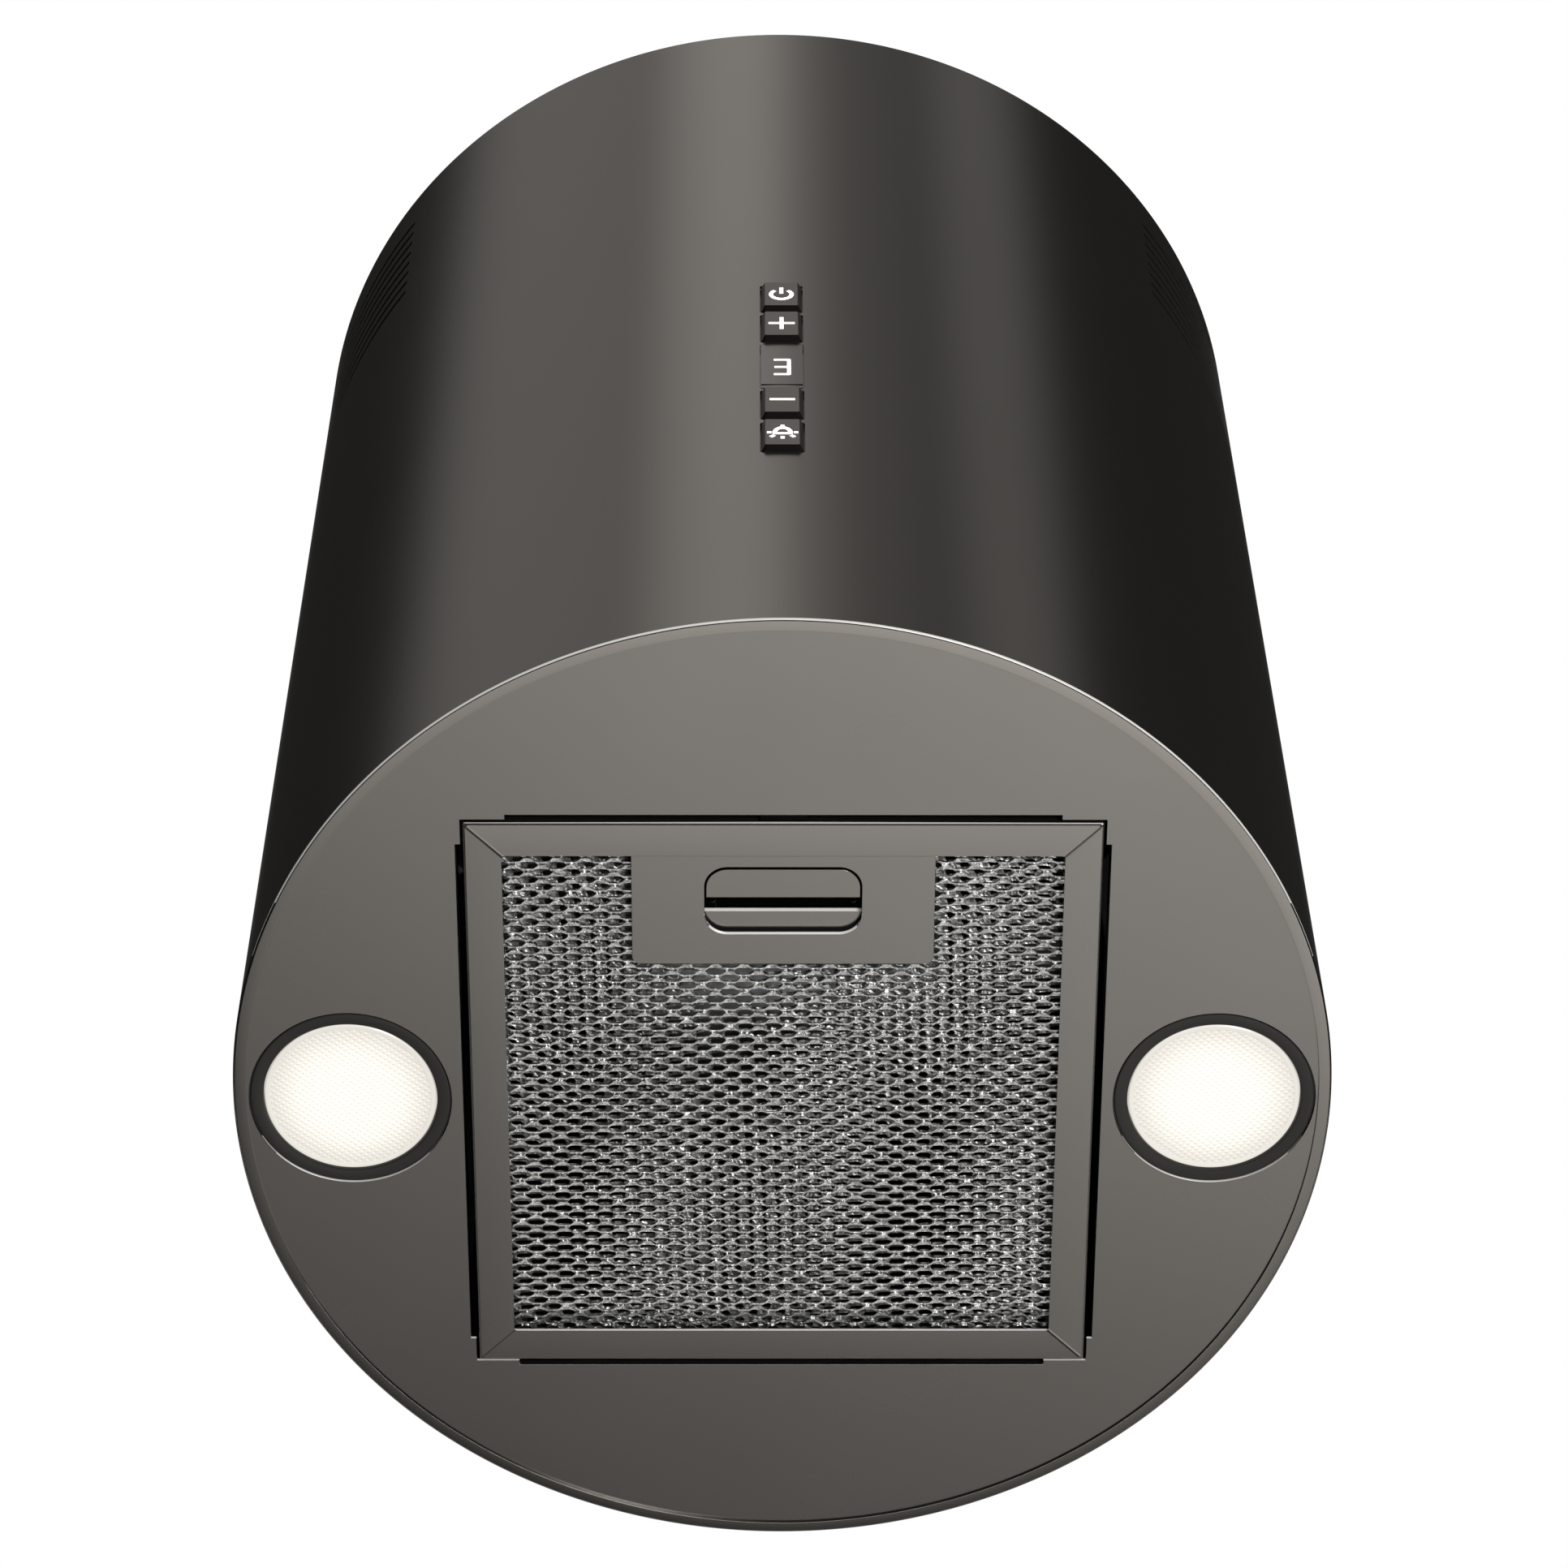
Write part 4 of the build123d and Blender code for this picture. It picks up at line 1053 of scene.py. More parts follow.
@dataclass
class FilterFrame:
    """The channel round the grease filter, mitred at its corners."""

    half_x: float = 110.5
    half_y: float = 114.5
    face: float = 13.0
    low: float = -508.0
    high: float = -499.0
    sheet: float = 1.2

    def _mitre(self, sx: int, sy: int) -> bpy.types.Object:
        """Make the cutter of one mitre line.

        Args:
            sx: The corner's side in X.
            sy: The corner's side in Y.

        Returns:
            The cutter.
        """
        x, y = sx * (self.half_x - self.face / 2), sy * (self.half_y - self.face / 2)
        Bench.clear()
        bpy.ops.mesh.primitive_cube_add(
            size=1.0, location=(x * MM, y * MM, self.low * MM), rotation=(0, 0, math.radians(45 * sx * sy))
        )
        cutter = bpy.context.object
        cutter.scale = (self.face * 1.5 * MM, 0.26 * MM, 0.7 * MM)
        return Bench.settle(cutter)

    def build(self) -> None:
        """Build the frame."""
        x, y, t = self.half_x, self.half_y, self.sheet
        ix, iy = x - self.face, y - self.face
        piece = Sheet.framed(
            [
                (ix, iy, self.low + t), (ix, iy, self.low), (x, y, self.low), (x, y, self.high),
                (ix, iy, self.high), (ix, iy, self.high - t),
                (x - t, y - t, self.high - t), (x - t, y - t, self.low + t),
            ],
            "filter_rails",
        )

        def on_outer_rim(p: Vector) -> bool:
            past_face = abs(p.x) / MM > ix + 5 or abs(p.y) / MM > iy + 5
            return abs(p.z / MM - self.low) < 0.01 and past_face

        Bench.pick(piece, "EDGE", on_outer_rim)
        bpy.ops.mesh.bevel(offset=0.8 * MM, segments=4, profile=0.5, affect="EDGES")
        Bench.done()
        for sx in (-1, 1):
            for sy in (-1, 1):
                Bench.cut(piece, self._mitre(sx, sy))
        Bench.cut(piece, Bench.block((-8.5, -y - 1, -506.6), (8.5, -y + 3, -504.6), "cutter"))
        Bench.bevel(piece, 0.12, 1, 50)
        tongues = [Bench.block((s - 7, y - 1, -500.2), (s + 7, y + 7, -499.0), "tongue") for s in (-70, 70)]
        for tongue in tongues:
            Bench.bevel(tongue, 0.3, 2)
        piece = Bench.join([piece, *tongues])
        Bench.finish(piece, "filter_rails", "filter", FILTER.build(), "filter_metal", ["filter_frame"], 40)
        # Painted highlight: the rails' lower faces that face the front get the near-white edge finish.
        Sheet.recoat(piece, EDGE, lambda c, n: n.y < -0.8 and c.z < -0.5066)


@dataclass
class ExpandedMesh:
    """One layer of expanded aluminium: zigzag strands that meet at flat bonds."""

    name: str
    height: float
    shift: tuple[float, float]
    lean: float = -20.0
    turn: float = 0.0
    period: float = 10.0
    pitch: float = 2.9
    rows: int = 41
    half_x: float = 106.6
    half_y: float = 110.6
    start_y: float = -117.9
    swing: float = 0.72
    run_in: float = 12.0

    def _strand(self, offset: float) -> bpy.types.Object:
        """Make one period of a strand.

        Args:
            offset: How far it is moved along X and up one row, as a share of a period.

        Returns:
            The open length of strand.
        """
        swing = self.swing
        x0 = -self.half_x - self.run_in + self.shift[0] - offset * self.period
        y0 = self.start_y + self.shift[1] + (self.pitch if offset else 0.0)
        z = self.height
        bond, neck = (2.05, 0.40, self.lean), (0.42, 0.95, -self.lean)
        stations = ((1.3, bond, 1.0), (2.5, neck, 0.0), (3.7, bond, -1.0), (5.0, bond, -1.0))
        stations += ((6.3, bond, -1.0), (7.5, neck, 0.0), (8.7, bond, 1.0), (self.period, bond, 1.0))
        bpy.ops.mesh.primitive_plane_add(size=1.0, location=(0, 0, 0), rotation=(0, math.pi / 2, 0))
        piece = Bench.settle(bpy.context.object)
        Bench.edit(piece, "FACE")
        bpy.ops.mesh.select_all(action="SELECT")
        Bench.resize((1, bond[0] * MM, bond[1] * MM), (0, 0, 0))
        bpy.ops.transform.rotate(value=math.radians(bond[2]), orient_axis="X", center_override=(0, 0, 0))
        bpy.ops.transform.translate(value=(x0 * MM, (y0 + swing) * MM, z * MM))
        last, last_x, last_y = bond, x0, y0 + swing
        for along, shape, side in stations:
            x, y = x0 + along, y0 + side * swing
            Bench.grow((x - last_x, y - last_y, 0))
            middle = (x, y, z)
            turn = {"orient_axis": "X", "center_override": [c * MM for c in middle]}
            bpy.ops.transform.rotate(value=math.radians(-last[2]), **turn)
            Bench.resize((1, shape[0] / last[0], shape[1] / last[1]), middle)
            bpy.ops.transform.rotate(value=math.radians(shape[2]), **turn)
            last, last_x, last_y = shape, x, y
        bpy.ops.mesh.delete(type="FACE")
        mesh = bmesh.from_edit_mesh(piece.data)
        for face in mesh.faces:
            face.select_set(max(v.co.x for v in face.verts) - min(v.co.x for v in face.verts) < 1e-5)
        bmesh.update_edit_mesh(piece.data)
        bpy.ops.mesh.delete(type="FACE")
        Bench.done()
        return piece

    def build(self) -> bpy.types.Object:
        """Build the layer.

        Returns:
            The layer, trimmed to the frame but not yet finished.
        """
        pieces = []
        for offset in (0.0, 0.5):
            strand = self._strand(offset)
            count = int(2 * self.half_x / self.period) + 4
            Bench.modifier(
                strand, "ARRAY", count=count, use_relative_offset=False, use_constant_offset=True,
                constant_offset_displace=(self.period * MM, 0, 0),
                use_merge_vertices=True, merge_threshold=0.00002,
            )
            pieces.append(strand)
        piece = Bench.join(pieces)
        Bench.modifier(
            piece, "ARRAY", count=self.rows, use_relative_offset=False, use_constant_offset=True,
            constant_offset_displace=(0, 2 * self.pitch * MM, 0), use_merge_vertices=False,
        )
        Bench.edit(piece, "FACE")
        bpy.ops.mesh.select_all(action="SELECT")
        bpy.ops.transform.rotate(
            value=math.radians(self.turn), orient_axis="Z", center_override=(0, 0, self.height * MM)
        )
        Bench.done()
        trims = [(side * self.half_x, (side, 0, 0)) for side in (1, -1)]
        trims += [(side * self.half_y, (0, side, 0)) for side in (1, -1)]
        for place, way in trims:
            Bench.edit(piece, "FACE")
            bpy.ops.mesh.select_all(action="SELECT")
            origin = [abs(part) * place * MM for part in way]
            bpy.ops.mesh.bisect(plane_co=origin, plane_no=way, use_fill=True, clear_outer=True)
            Bench.done()
        Bench.pick(piece, "FACE", lambda p: abs(p.x) < 0.0325 and p.y < -0.0635 and p.z < 0)
        bpy.ops.mesh.delete(type="FACE")
        bpy.ops.mesh.select_all(action="SELECT")
        bpy.ops.mesh.normals_make_consistent(inside=False)
        Bench.done()
        return piece


@dataclass
class FilterPack:
    """The layers of expanded aluminium."""

    def build(self) -> None:
        """Build every layer."""
        lower = ExpandedMesh("mesh_lower", -505.2, (0.0, 0.0))
        upper = ExpandedMesh("mesh_upper", -502.2, (2.3, 1.3), lean=24.0, turn=2.6)
        # The upper layer takes a darker copy of the aluminium as painted shade.
        for layer, finish in ((lower, MESH), (upper, MESH_PAINTED_SHADE)):
            piece = layer.build()
            replaced = [f"filter_{layer.name}"]
            Bench.finish(piece, layer.name, "filter", finish.build(), "mesh_aluminium", replaced, 50)


@dataclass
class HandlePlate:
    """The plate with the finger opening, its pocket and the sliding latch behind it."""

    half_x: float = 52.7
    near: float = -101.3
    far: float = -57.2
    low: float = -507.7
    high: float = -506.7
    corner: float = 3.0
    opening_x: float = 27.35
    opening_near: float = -96.8
    opening_far: float = -69.9
    opening_corner: float = 8.0
    pocket_x: float = 30.7
    pocket_far: float = -66.0
    pocket_high: float = -500.6
    sheet: float = 1.0
    lip_near: float = -78.5
    lip_low: float = -505.3
    pad_corner: float = 7.4

    def _plate(self) -> bpy.types.Object:
        """Make the plate with its opening.

        Returns:
            The plate.
        """
        x, ox = self.half_x, self.opening_x
        plate = Bench.block((-x, self.near, self.low), (x, self.far, self.high), "handle_plate")
        Bench.pick(plate, "EDGE", lambda p: abs(p.z / MM + 507.2) < 0.1 and p.y > -0.06)
        bpy.ops.mesh.bevel(offset=self.corner * MM, segments=8, profile=0.5, affect="EDGES")
        Bench.done()
        low, high = (-ox, self.opening_near, -510), (ox, self.opening_far, -505)
        Bench.cut(plate, Sheet.rounded(low, high, 2, self.opening_corner, "cutter", 14))

        def on_far_edge(p: Vector) -> bool:
            return p.z < -0.50765 and -0.0735 < p.y < -0.069 and abs(p.x) < 0.0265

        Bench.pick(plate, "EDGE", on_far_edge)
        bpy.ops.mesh.bevel(offset=0.5 * MM, segments=1, affect="EDGES")
        Bench.done()
        Bench.bevel(plate, 0.1, 1, 60)
        return plate

    def _pocket(self) -> list[bpy.types.Object]:
        """Make the pocket over the opening with its raised floor.

        Returns:
            The pocket's shell, floor and lip.
        """
        x, far, high = self.pocket_x, self.pocket_far, self.pocket_high
        shell = Bench.block((-x, self.near, self.high - 0.02), (x, far, high), "pocket")
        x, roof = x - self.sheet, high - self.sheet
        Bench.cut(shell, Bench.block((-x, self.near - 1.7, -508), (x, far - self.sheet, roof), "cutter"))
        near, low = self.lip_near, self.lip_low
        floor = Bench.block((-x, near + 0.5, low + 0.3), (x, far - 0.5, roof + 0.2), "floor")
        lip = Bench.block((-x, near, low), (x, near + 1.1, low + 0.5), "lip")
        return [shell, floor, lip]

    def _coat(self, piece: bpy.types.Object) -> None:
        """Paint shade on the pocket's hidden inner faces with a near-black finish, and a painted highlight on
        the front-facing cut edges and the lip with a near-white one.

        Args:
            piece: The finished plate with its pocket.
        """

        def in_pocket(c: Vector) -> bool:
            return abs(c.x) < 0.03 and -0.1 < c.y < -0.0665

        def is_inner(c: Vector, n: Vector) -> bool:
            return in_pocket(c) and c.z > -0.5047 and (c.y < -0.0772 or n.y < -0.5)

        def is_side(c: Vector, n: Vector) -> bool:
            return in_pocket(c) and abs(n.x) > 0.5 and c.y < -0.0785

        def is_painted_highlight_edge(c: Vector, n: Vector) -> bool:
            return n.y < -0.4 and c.z < -0.5068 and -0.085 < c.y < -0.06

        def is_painted_highlight_lip(c: Vector, n: Vector) -> bool:
            return in_pocket(c) and -0.0786 < c.y < -0.0773 and c.z < -0.5047

        # Painted shade inside the pocket, painted highlight on the front-facing edges and the lip.
        for finish, test in ((PAINTED_SHADE, is_inner), (PAINTED_SHADE, is_side), (EDGE, is_painted_highlight_edge), (EDGE, is_painted_highlight_lip)):
            Sheet.recoat(piece, finish, test)

    def _latch(self) -> None:
        """Build the sliding latch with its finger pad, its tongue and its spring legs."""
        latch = Bench.block((-27, -99.5, -506.2), (27, -84.5, -505.1), "latch_plate")
        pad = Bench.block((-26.75, -95.65, -507.35), (26.75, -84.3, -506.15), "pad")
        Bench.pick(pad, "EDGE", lambda p: abs(p.z / MM + 506.75) < 0.1 and p.y < -0.095)
        bpy.ops.mesh.bevel(offset=self.pad_corner * MM, segments=12, profile=0.5, affect="EDGES")
        Bench.done()
        Bench.bevel(pad, 0.12, 1, 50)
        tongue = Bench.block((-8, -116.9, -506.2), (8, -96.0, -505.1), "tongue")
        Bench.bevel(tongue, 0.2, 2, 50)
        legs = [Bench.block((x, -95.5, -505.2), (x + 4.6, -94.0, -502.1), "leg") for x in (-17, 12.4)]
        latch = Bench.join([latch, pad, tongue, *legs])
        Bench.finish(latch, "latch_plate", "latch", FILTER.build(), "latch_metal", ["filter_latch"], 30)
        # Painted shade: the latch's upper parts and side walls, which sit in the pocket's shade, get the
        # near-black finish; the pad's underside keeps the filter finish.
        Sheet.recoat(latch, PAINTED_SHADE, lambda c, n: c.z > -0.50655 or abs(n.z) < 0.5)

    def build(self) -> None:
        """Build the plate and the latch."""
        piece = Bench.join([self._plate(), *self._pocket()])
        replaced = ["filter_handle_plate"]
        Bench.finish(piece, "handle_plate", "filter", FILTER.build(), "filter_metal", replaced, 30)
        self._coat(piece)
        self._latch()


@dataclass
class LampFace:
    """The black ring and the prismatic lens of one lamp."""

    side: int
    word: str
    centre: float = 153.5
    cell: float = 1.9
    lens_radius: float = 30.5
    facet_z: float = -505.75
    facet_rise: float = 0.40
    facet_turn: float = 38.0

    def _bezel(self) -> None:
        """Build the ring."""
        x = self.side * self.centre
        ring = Bench.turned_profile(
            [
                (30.8, -503.6), (30.8, -505.9), (31.0, -506.4), (31.5, -506.65), (35.0, -506.7),
                (35.45, -506.5), (35.6, -506.05), (37.5, -506.0), (37.5, -504.6), (35.6, -504.6),
                (35.6, -503.6),
            ],
            (x, 0), 160, "lamp_ring",
        )
        name, replaced = f"lamp_ring_{self.word}", [f"lamp_bezel_{self.word}"]
        Bench.finish(ring, name, "hood", BLACK.build(), "bezel_plastic", replaced, 40)

    def _facets(self) -> bpy.types.Object:
        """Make the field of small pyramids under the lens.

        Returns:
            The field.
        """
        x = self.side * self.centre
        count = int(2 * self.lens_radius / self.cell) + 3
        Bench.clear()
        bpy.ops.mesh.primitive_grid_add(
            x_subdivisions=count, y_subdivisions=count, size=count * self.cell * MM,
            location=(x * MM, 0, self.facet_z * MM), rotation=(math.pi, 0, math.radians(self.facet_turn)),
        )
        facets = Bench.settle(bpy.context.object)
        reach = (self.lens_radius - 1.3) * MM
        Bench.pick(facets, "FACE", lambda p: math.hypot(p.x - x * MM, p.y) > reach)
        bpy.ops.mesh.delete(type="FACE")
        bpy.ops.mesh.select_all(action="SELECT")
        bpy.ops.mesh.poke(offset=self.facet_rise * MM, use_relative_offset=False)
        Bench.done()
        return facets

    def _lens(self) -> None:
        """Build the lens."""
        x = self.side * self.centre
        r = self.lens_radius
        body = Sheet.capped(
            [
                (r - 2.0, -505.55), (r - 1.9, -506.1), (r - 1.6, -506.2), (r - 0.35, -506.2), (r, -505.9),
                (r, -503.6), (r + 2, -503.6), (r + 2, -502.4),
            ],
            (x, 0), 128, "lens",
        )
        lens = Bench.join([body, self._facets()])
        glow = LensGlow(
            f"prismatic_lens_{self.word}", (0.30, 0.29, 0.27), roughness=0.22, tint=0.03,
            centre=(x * MM, 0.0), reach=r * MM,
        )
        name, replaced = f"lamp_lens_facets_{self.word}", [f"lamp_lens_{self.word}"]
        Bench.finish(lens, name, "hood", glow.build(), "lens_plastic", replaced, 20)

    def build(self) -> None:
        """Build the lamp's visible pieces."""
        self._bezel()
        self._lens()


class Icon(Enum):
    """The strokes of each sign, as pairs of points in millimetres from the key's middle."""

    POWER = "power"
    PLUS = "plus"
    MINUS = "minus"
    LIGHT = "light"
    THREE = "three"

    def strokes(self) -> list[Stroke]:
        """List the strokes.

        Returns:
            Start and end of every stroke.
        """
        if self is Icon.PLUS:
            return [(-4.6, 0, 4.6, 0), (0, -4.7, 0, 4.7)]
        if self is Icon.MINUS:
            return [(-4.3, 0, 4.3, 0)]
        if self is Icon.THREE:
            return [(-2.7, 6.0, 2.6, 6.0), (-2.5, 0, 2.6, 0), (-2.7, -6.0, 2.6, -6.0), (2.6, 6.0, 2.6, -6.0)]
        if self is Icon.POWER:
            return [(0, 0.4, 0, 5.0), *self._arc(0, -0.6, 3.9, 4.1, 132, 408)]
        rays = [(-5.3, -0.6, -4.3, -0.6), (5.3, -0.6, 4.3, -0.6), (0, -5.2, 0, -3.9)]
        rays += [(-4.1, -4.0, -3.2, -3.0), (4.1, -4.0, 3.2, -3.0)]
        return [(-3.2, -1.3, 3.2, -1.3), (0, 3.3, 0, 5.0), *self._arc(0, -1.0, 2.9, 4.1, 0, 180), *rays]

    @staticmethod
    def _arc(x: float, z: float, wide: float, tall: float, start: float, end: float) -> list[Stroke]:
        """Break an arc into short strokes.

        Args:
            x: The middle's X in millimetres.
            z: The middle's Z in millimetres.
            wide: The radius along X.
            tall: The radius along Z.
            start: The bearing where it starts, in degrees.
            end: The bearing where it ends.

        Returns:
            The strokes.
        """
        count = 18
        spots = []
        for step in range(count + 1):
            turn = math.radians(start + (end - start) * step / count)
            spots.append((x + wide * math.cos(turn), z + tall * math.sin(turn)))
        return [(*a, *b) for a, b in zip(spots, spots[1:])]


@dataclass
class KeyColumn:
    """The four keys, their lit signs and the lit digit in the window."""

    width: float = 15.5
    height: float = 23.0
    gap: float = 0.3
    places = {"power": -258.0, "plus": -283.5, "minus": -347.0, "light": -373.0}
    window_z: float = -315.0
    window_height: float = 36.0
    face: float = -197.22
    rim: float = -194.8
    taper: float = 1.3

    def _sign(self, icon: Icon, z: float, front: float, stroke: float) -> bpy.types.Object:
        """Make a lit sign as thin raised strokes.

        Args:
            icon: Which sign.
            z: The height of its middle in millimetres.
            front: The Y of its front in millimetres.
            stroke: The stroke's width in millimetres.

        Returns:
            The sign.
        """
        bars = []
        for x0, z0, x1, z1 in icon.strokes():
            span = math.hypot(x1 - x0, z1 - z0) + stroke * 0.4
            Bench.clear()
            bpy.ops.mesh.primitive_cube_add(
                size=1.0, location=((x0 + x1) / 2 * MM, (front + 0.1) * MM, (z + (z0 + z1) / 2) * MM),
                rotation=(0, -math.atan2(z1 - z0, x1 - x0), 0),
            )
            bar = bpy.context.object
            bar.scale = (span * MM, 0.2 * MM, stroke * MM)
            bars.append(Bench.settle(bar))
        return Bench.join(bars)

    def _key(self, key: str, z: float) -> None:
        """Build one key cap with its flange, stem and sign.

        Args:
            key: The key's word.
            z: The height of its middle in millimetres.
        """
        hx, hz = self.width / 2 - 0.15, self.height / 2 - 0.1
        cap = Sheet.rounded((-hx, self.rim, z - hz), (hx, -192.5, z + hz), 1, 1.0, "cap", 5)
        Bench.pick(cap, "FACE", lambda p: p.y < -0.19475)
        Bench.grow((0, self.face - self.rim, 0))
        Bench.resize(((hx - self.taper) / hx, 1, (hz - self.taper) / hz), (0, self.face, z))
        Bench.done()
        Bench.bevel(cap, 0.3, 3, 35)
        flange = Bench.block((-9, -192.8, z - 12.2), (9, -191.3, z + 12.2), "flange")
        Bench.clear()
        bpy.ops.mesh.primitive_cylinder_add(
            vertices=32, radius=3.0 * MM, depth=9.0 * MM,
            location=(0, -186.9 * MM, z * MM), rotation=(math.pi / 2, 0, 0),
        )
        stem = Bench.settle(bpy.context.object)
        Bench.bevel(stem, 0.4, 2)
        piece = Bench.join([cap, flange, stem])
        body = f"{key}_key"
        Bench.finish(piece, f"key_{key}", body, KEYS.build(), "button_plastic", [f"button_{key}"], 28)
        # Painted shade: the cap's sides get a darker copy of the key finish and its downward-facing bottom
        # taper a near-black one; the upper taper keeps the key finish.
        Sheet.recoat(piece, KEY_SIDE_PAINTED_SHADE, lambda c, n: c.y < -0.194 and abs(n.x) > 0.35)
        Sheet.recoat(piece, PAINTED_SHADE, lambda c, n: c.y < -0.1945 and n.z < -0.4)
        sign = self._sign(Icon(key), z, self.face - 0.07, 1.5)
        Bench.finish(sign, f"sign_{key}", body, ICON.build(), "button_plastic")

    def build(self) -> None:
        """Build the column."""
        for key, z in self.places.items():
            self._key(key, z)
        digit = self._sign(Icon.THREE, self.window_z - 1.0, -195.06, 1.45)
        Bench.finish(digit, "digit", "hood", ICON.build(), "window_plastic")
        # Painted shadow: a thin near-black strip under the window's lower lip, standing for the shadow at its
        # joint.
        line = Bench.block((-7.6, -195.04, -330.9), (7.6, -194.7, -330.2), "window_lip_painted_shadow")
        Bench.bevel(line, 0.03, 1)
        Bench.finish(line, "window_lip_painted_shadow", "hood", PAINTED_SHADE.build(), "window_plastic")


@dataclass
class Assembly:
    """Every sub-assembly that is modelled anew."""

    def build(self) -> None:
        """Build them in order."""
        TubeShell().build()
        BaffleFloor().build()
        FilterFrame().build()
        FilterPack().build()
        HandlePlate().build()
        for side, word in ((-1, "left"), (1, "right")):
            LampFace(side, word).build()
        KeyColumn().build()


# ------------------------------------------------------------------ studio


@dataclass(frozen=True)
class Softbox:
    """A soft upright light band round the studio, by its bearing from the front."""

    bearing: float
    half_width: float
    feather: float
    strength: float


@dataclass
class Studio:
    """The camera, the lights, the pale floor and the surroundings."""

    focal: float = 120.86
    eye: Point = (-0.0098, -1.0497, -2.0597)
    aim: Point = (0.0055, 0.5097, 0.8604)
    roll: float = -0.5
    floor_z: float = -3.2
    bands: tuple[Softbox, ...] = (
        Softbox(-15.0, 9.0, 14.0, 0.44),
        Softbox(-7.0, 6.0, 22.0, 0.30),
        Softbox(-60.0, 16.0, 24.0, 0.34),
        Softbox(54.0, 5.0, 15.0, 0.26),
        Softbox(20.0, 6.0, 20.0, 0.16),
        Softbox(180.0, 10.0, 12.0, 0.50),
    )
    shade: float = 0.02
    floor_light: float = 1.9
    back_light: float = 1.6

    def camera(self) -> None:
        """Create the camera and make it the scene's."""
        data = bpy.data.cameras.new("camera")
        data.lens = self.focal
        data.sensor_width = 36.0
        data.clip_end = 50.0
        data.dof.use_dof = False
        eye = bpy.data.objects.new("camera", data)
        bpy.context.scene.collection.objects.link(eye)
        ahead = Vector(self.aim).normalized()
        side = ahead.cross(Vector((0.0, 0.0, 1.0))).normalized()
        above = side.cross(ahead)
        tilt = math.radians(self.roll)
        right = side * math.cos(tilt) + above * math.sin(tilt)
        up = right.cross(ahead)
        turn = Matrix((right, up, -ahead)).transposed()
        eye.matrix_world = Matrix.Translation(Vector(self.eye)) @ turn.to_4x4()
        bpy.context.scene.camera = eye

    def floor(self) -> None:
        """Lay a plain pale floor well below the hood."""
        Bench.clear()
        bpy.ops.mesh.primitive_plane_add(size=16.0, location=(0.0, 0.0, self.floor_z))
        ground = bpy.context.object
        ground.name = "floor"
        material = Finish("pale_floor", (0.80, 0.80, 0.80), roughness=0.8, tint=0.02, flake=60.0).build()
        ground.data.materials.append(material)
        ground.visible_glossy = False

    def lamp(self, name: str, place: Point, target: Point, size: tuple[float, float], power: float) -> None:
        """Add one rectangular soft light.

        Args:
            name: Its name.
            place: Where it stands, in metres.
            target: The point that it faces.
            size: Its width and height in metres.
            power: Its power in watts.
        """
        data = bpy.data.lights.new(name, "AREA")
        data.shape = "RECTANGLE"
        data.size, data.size_y = size
        data.energy = power
        light = bpy.data.objects.new(name, data)
        bpy.context.scene.collection.objects.link(light)
        light.location = place
        light.rotation_euler = (Vector(target) - Vector(place)).to_track_quat("-Z", "Y").to_euler()
        light.visible_camera = False

    @staticmethod
    def _ramp(
        tree: bpy.types.NodeTree,
        value: bpy.types.NodeSocket,
        low: float,
        high: float,
        top: float,
        base: float = 0.0,
    ) -> bpy.types.NodeSocket:
        """Add a smooth step.

        Args:
            tree: The tree to add to.
            value: The socket that drives it.
            low: Where the step starts.
            high: Where the step ends.
            top: Its result past the end.
            base: Its result before the start.

        Returns:
            The result socket.
        """
        step = tree.nodes.new("ShaderNodeMapRange")
        step.interpolation_type = "SMOOTHSTEP"
        step.inputs["From Min"].default_value = low
        step.inputs["From Max"].default_value = high
        step.inputs["To Min"].default_value = base
        step.inputs["To Max"].default_value = top
        tree.links.new(value, step.inputs["Value"])
        return step.outputs["Result"]

    def _below(self, tree: bpy.types.NodeTree, split: bpy.types.Node) -> bpy.types.NodeSocket:
        """Add the light from under and behind the hood that its underside mirrors.

        Args:
            tree: The world's tree.
            split: The node that gives the direction's parts.

        Returns:
            The strength socket.
        """
        maths = Effects._maths
        down = maths(tree, "MULTIPLY", split.outputs["Z"], -1.0)
        slant = maths(tree, "ADD", down, maths(tree, "MULTIPLY", split.outputs["X"], 0.22))
        behind = self._ramp(tree, split.outputs["Y"], 0.15, 0.42, 1.0)
        sheet = self._ramp(tree, slant, 0.806, 0.875, self.floor_light)
        sheet = maths(tree, "MULTIPLY", sheet, behind)
        rise = self._ramp(tree, down, 0.12, 0.3, 1.0)
        fall = self._ramp(tree, down, 0.50, 0.36, 1.0)
        far = self._ramp(tree, split.outputs["Y"], 0.45, 0.7, self.back_light)
        glow = maths(tree, "MULTIPLY", maths(tree, "MULTIPLY", rise, fall), far)
        under = self._ramp(tree, down, -0.1, 0.2, 1.0)
        return maths(tree, "MULTIPLY", maths(tree, "ADD", sheet, glow), under)

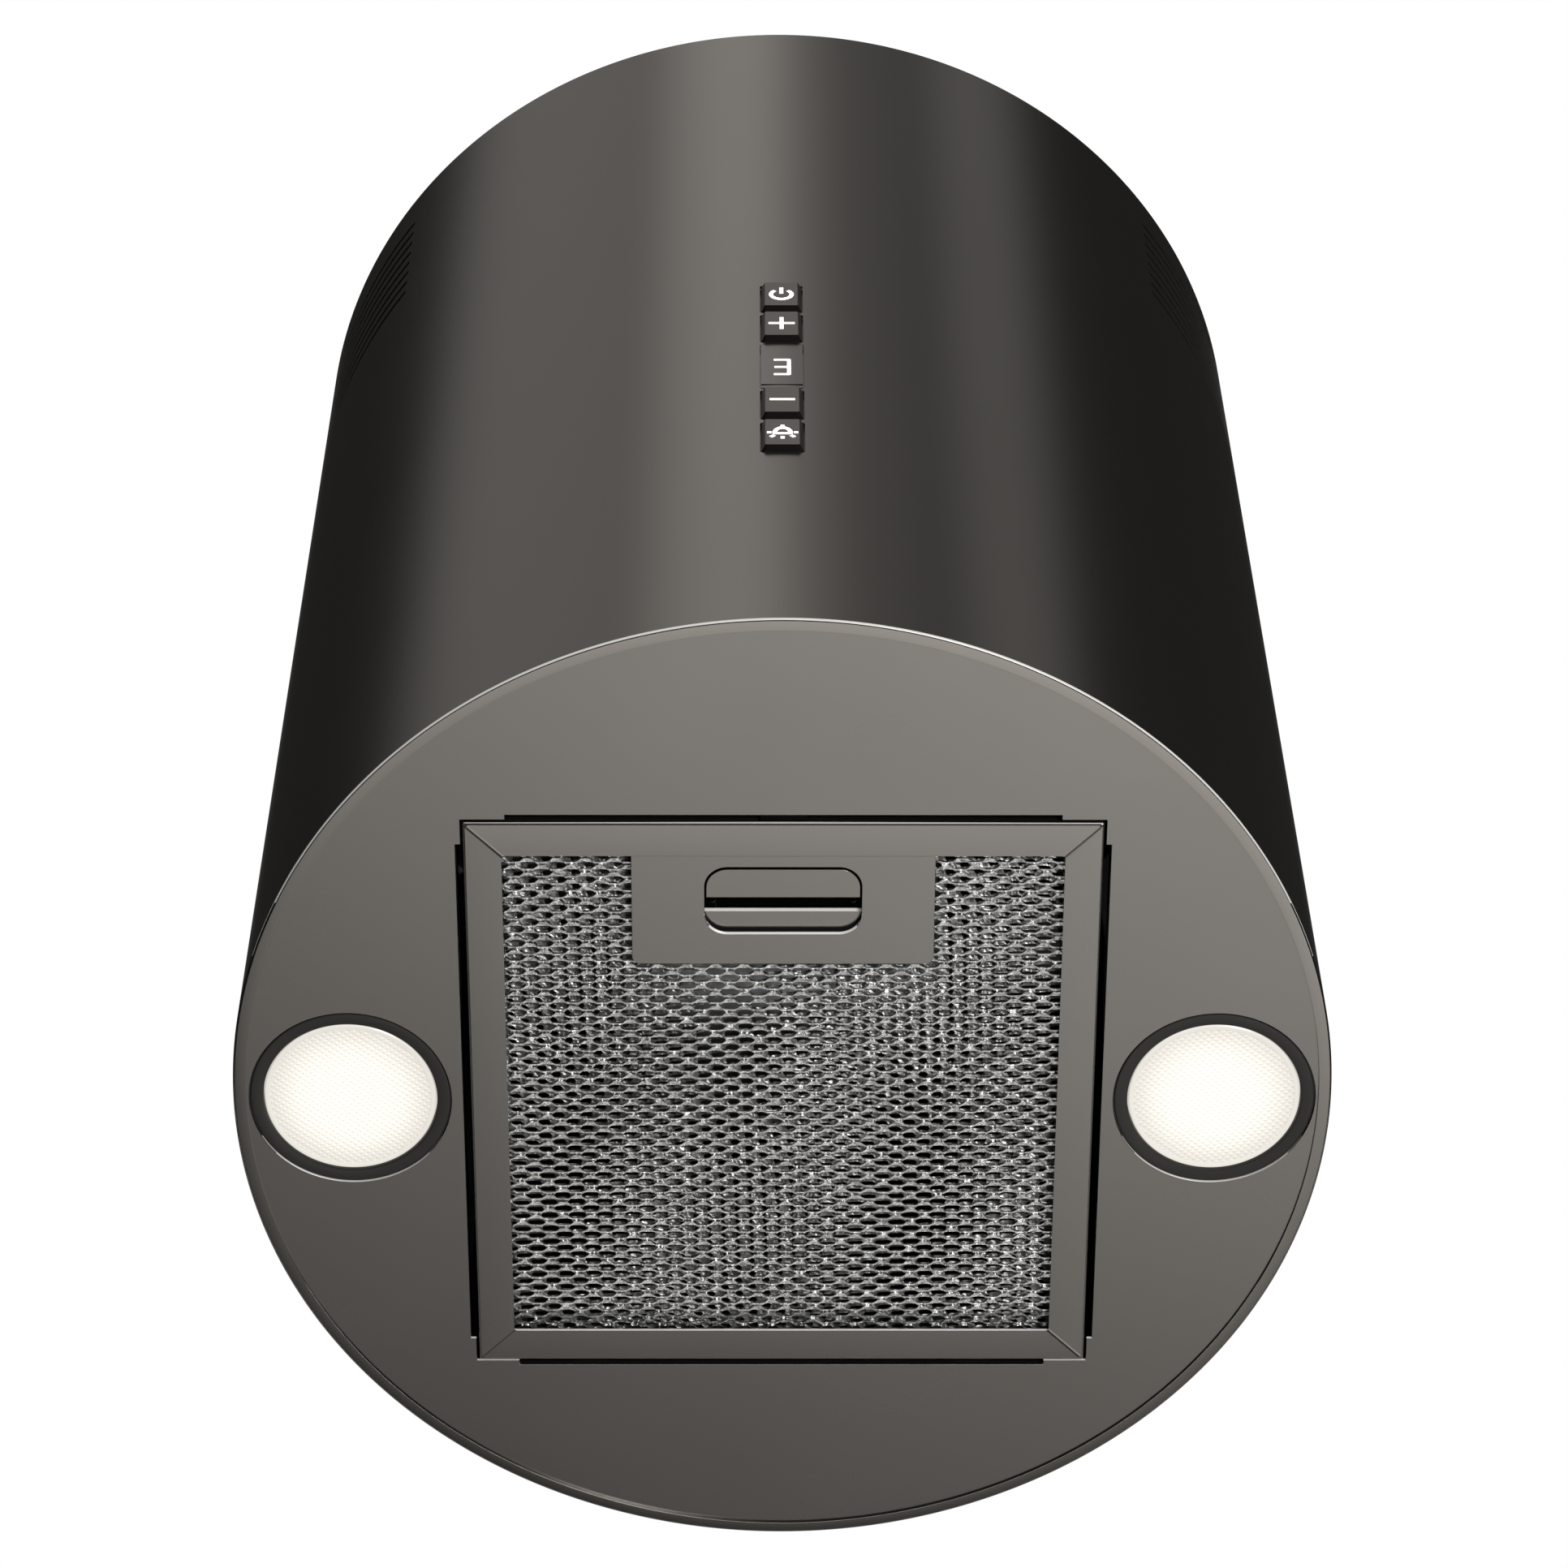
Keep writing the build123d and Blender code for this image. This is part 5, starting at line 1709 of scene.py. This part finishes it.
    def surroundings(self) -> None:
        """Build the world: white to the eye, soft bands of light to the metal."""
        world = bpy.data.worlds.new("studio")
        world.use_nodes = True
        bpy.context.scene.world = world
        tree = world.node_tree
        tree.nodes.clear()
        new, link = tree.nodes.new, tree.links.new
        maths = Effects._maths
        split = new("ShaderNodeSeparateXYZ")
        link(new("ShaderNodeTexCoord").outputs["Generated"], split.inputs[0])
        bearing = new("ShaderNodeMath")
        bearing.operation = "ARCTAN2"
        link(split.outputs["X"], bearing.inputs[0])
        link(maths(tree, "MULTIPLY", split.outputs["Y"], -1.0), bearing.inputs[1])
        degrees = maths(tree, "MULTIPLY", bearing.outputs[0], 180.0 / math.pi)
        total: object = self.shade
        for band in self.bands:
            away = maths(tree, "SUBTRACT", degrees, band.bearing)
            wrapped = new("ShaderNodeMath")
            wrapped.operation = "WRAP"
            link(away, wrapped.inputs[0])
            wrapped.inputs[1].default_value = 180.0
            wrapped.inputs[2].default_value = -180.0
            gap = new("ShaderNodeMath")
            gap.operation = "ABSOLUTE"
            link(wrapped.outputs[0], gap.inputs[0])
            fade = new("ShaderNodeMapRange")
            fade.interpolation_type = "SMOOTHSTEP"
            fade.inputs["From Min"].default_value = band.half_width + band.feather
            fade.inputs["From Max"].default_value = band.half_width
            fade.inputs["To Max"].default_value = band.strength
            link(gap.outputs[0], fade.inputs["Value"])
            total = maths(tree, "ADD", fade.outputs["Result"], total)
        total = maths(tree, "MULTIPLY", total, self._ramp(tree, split.outputs["Z"], -0.15, 0.2, 1.0, 0.05))
        total = maths(tree, "ADD", total, self._below(tree, split))
        glossy = new("ShaderNodeBackground")
        glossy.inputs["Color"].default_value = (1.0, 0.975, 0.945, 1.0)
        link(total, glossy.inputs["Strength"])
        seen = new("ShaderNodeBackground")
        seen.inputs["Color"].default_value = (1.0, 1.0, 1.0, 1.0)
        seen.inputs["Strength"].default_value = 1.0
        choose = new("ShaderNodeMixShader")
        link(new("ShaderNodeLightPath").outputs["Is Camera Ray"], choose.inputs[0])
        link(glossy.outputs[0], choose.inputs[1])
        link(seen.outputs[0], choose.inputs[2])
        link(choose.outputs[0], new("ShaderNodeOutputWorld").inputs["Surface"])

    def light(self) -> None:
        """Set the world and the soft lights."""
        self.surroundings()
        self.lamp("under_light", (1.1, -1.6, -2.3), (0.0, 0.0, -0.5), (0.7, 0.7), 46.0)

    def build(self) -> None:
        """Set up the whole studio."""
        self.camera()
        self.floor()
        self.light()
        scene = bpy.context.scene
        scene.view_settings.view_transform = "Standard"


# ------------------------------------------------------------------ assembly


def main() -> None:
    """Build the hood's visual model in order."""
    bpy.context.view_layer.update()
    Studio().build()
    NodeFinishes().dress()
    Assembly().build()


if __name__ == "__main__":
    main()
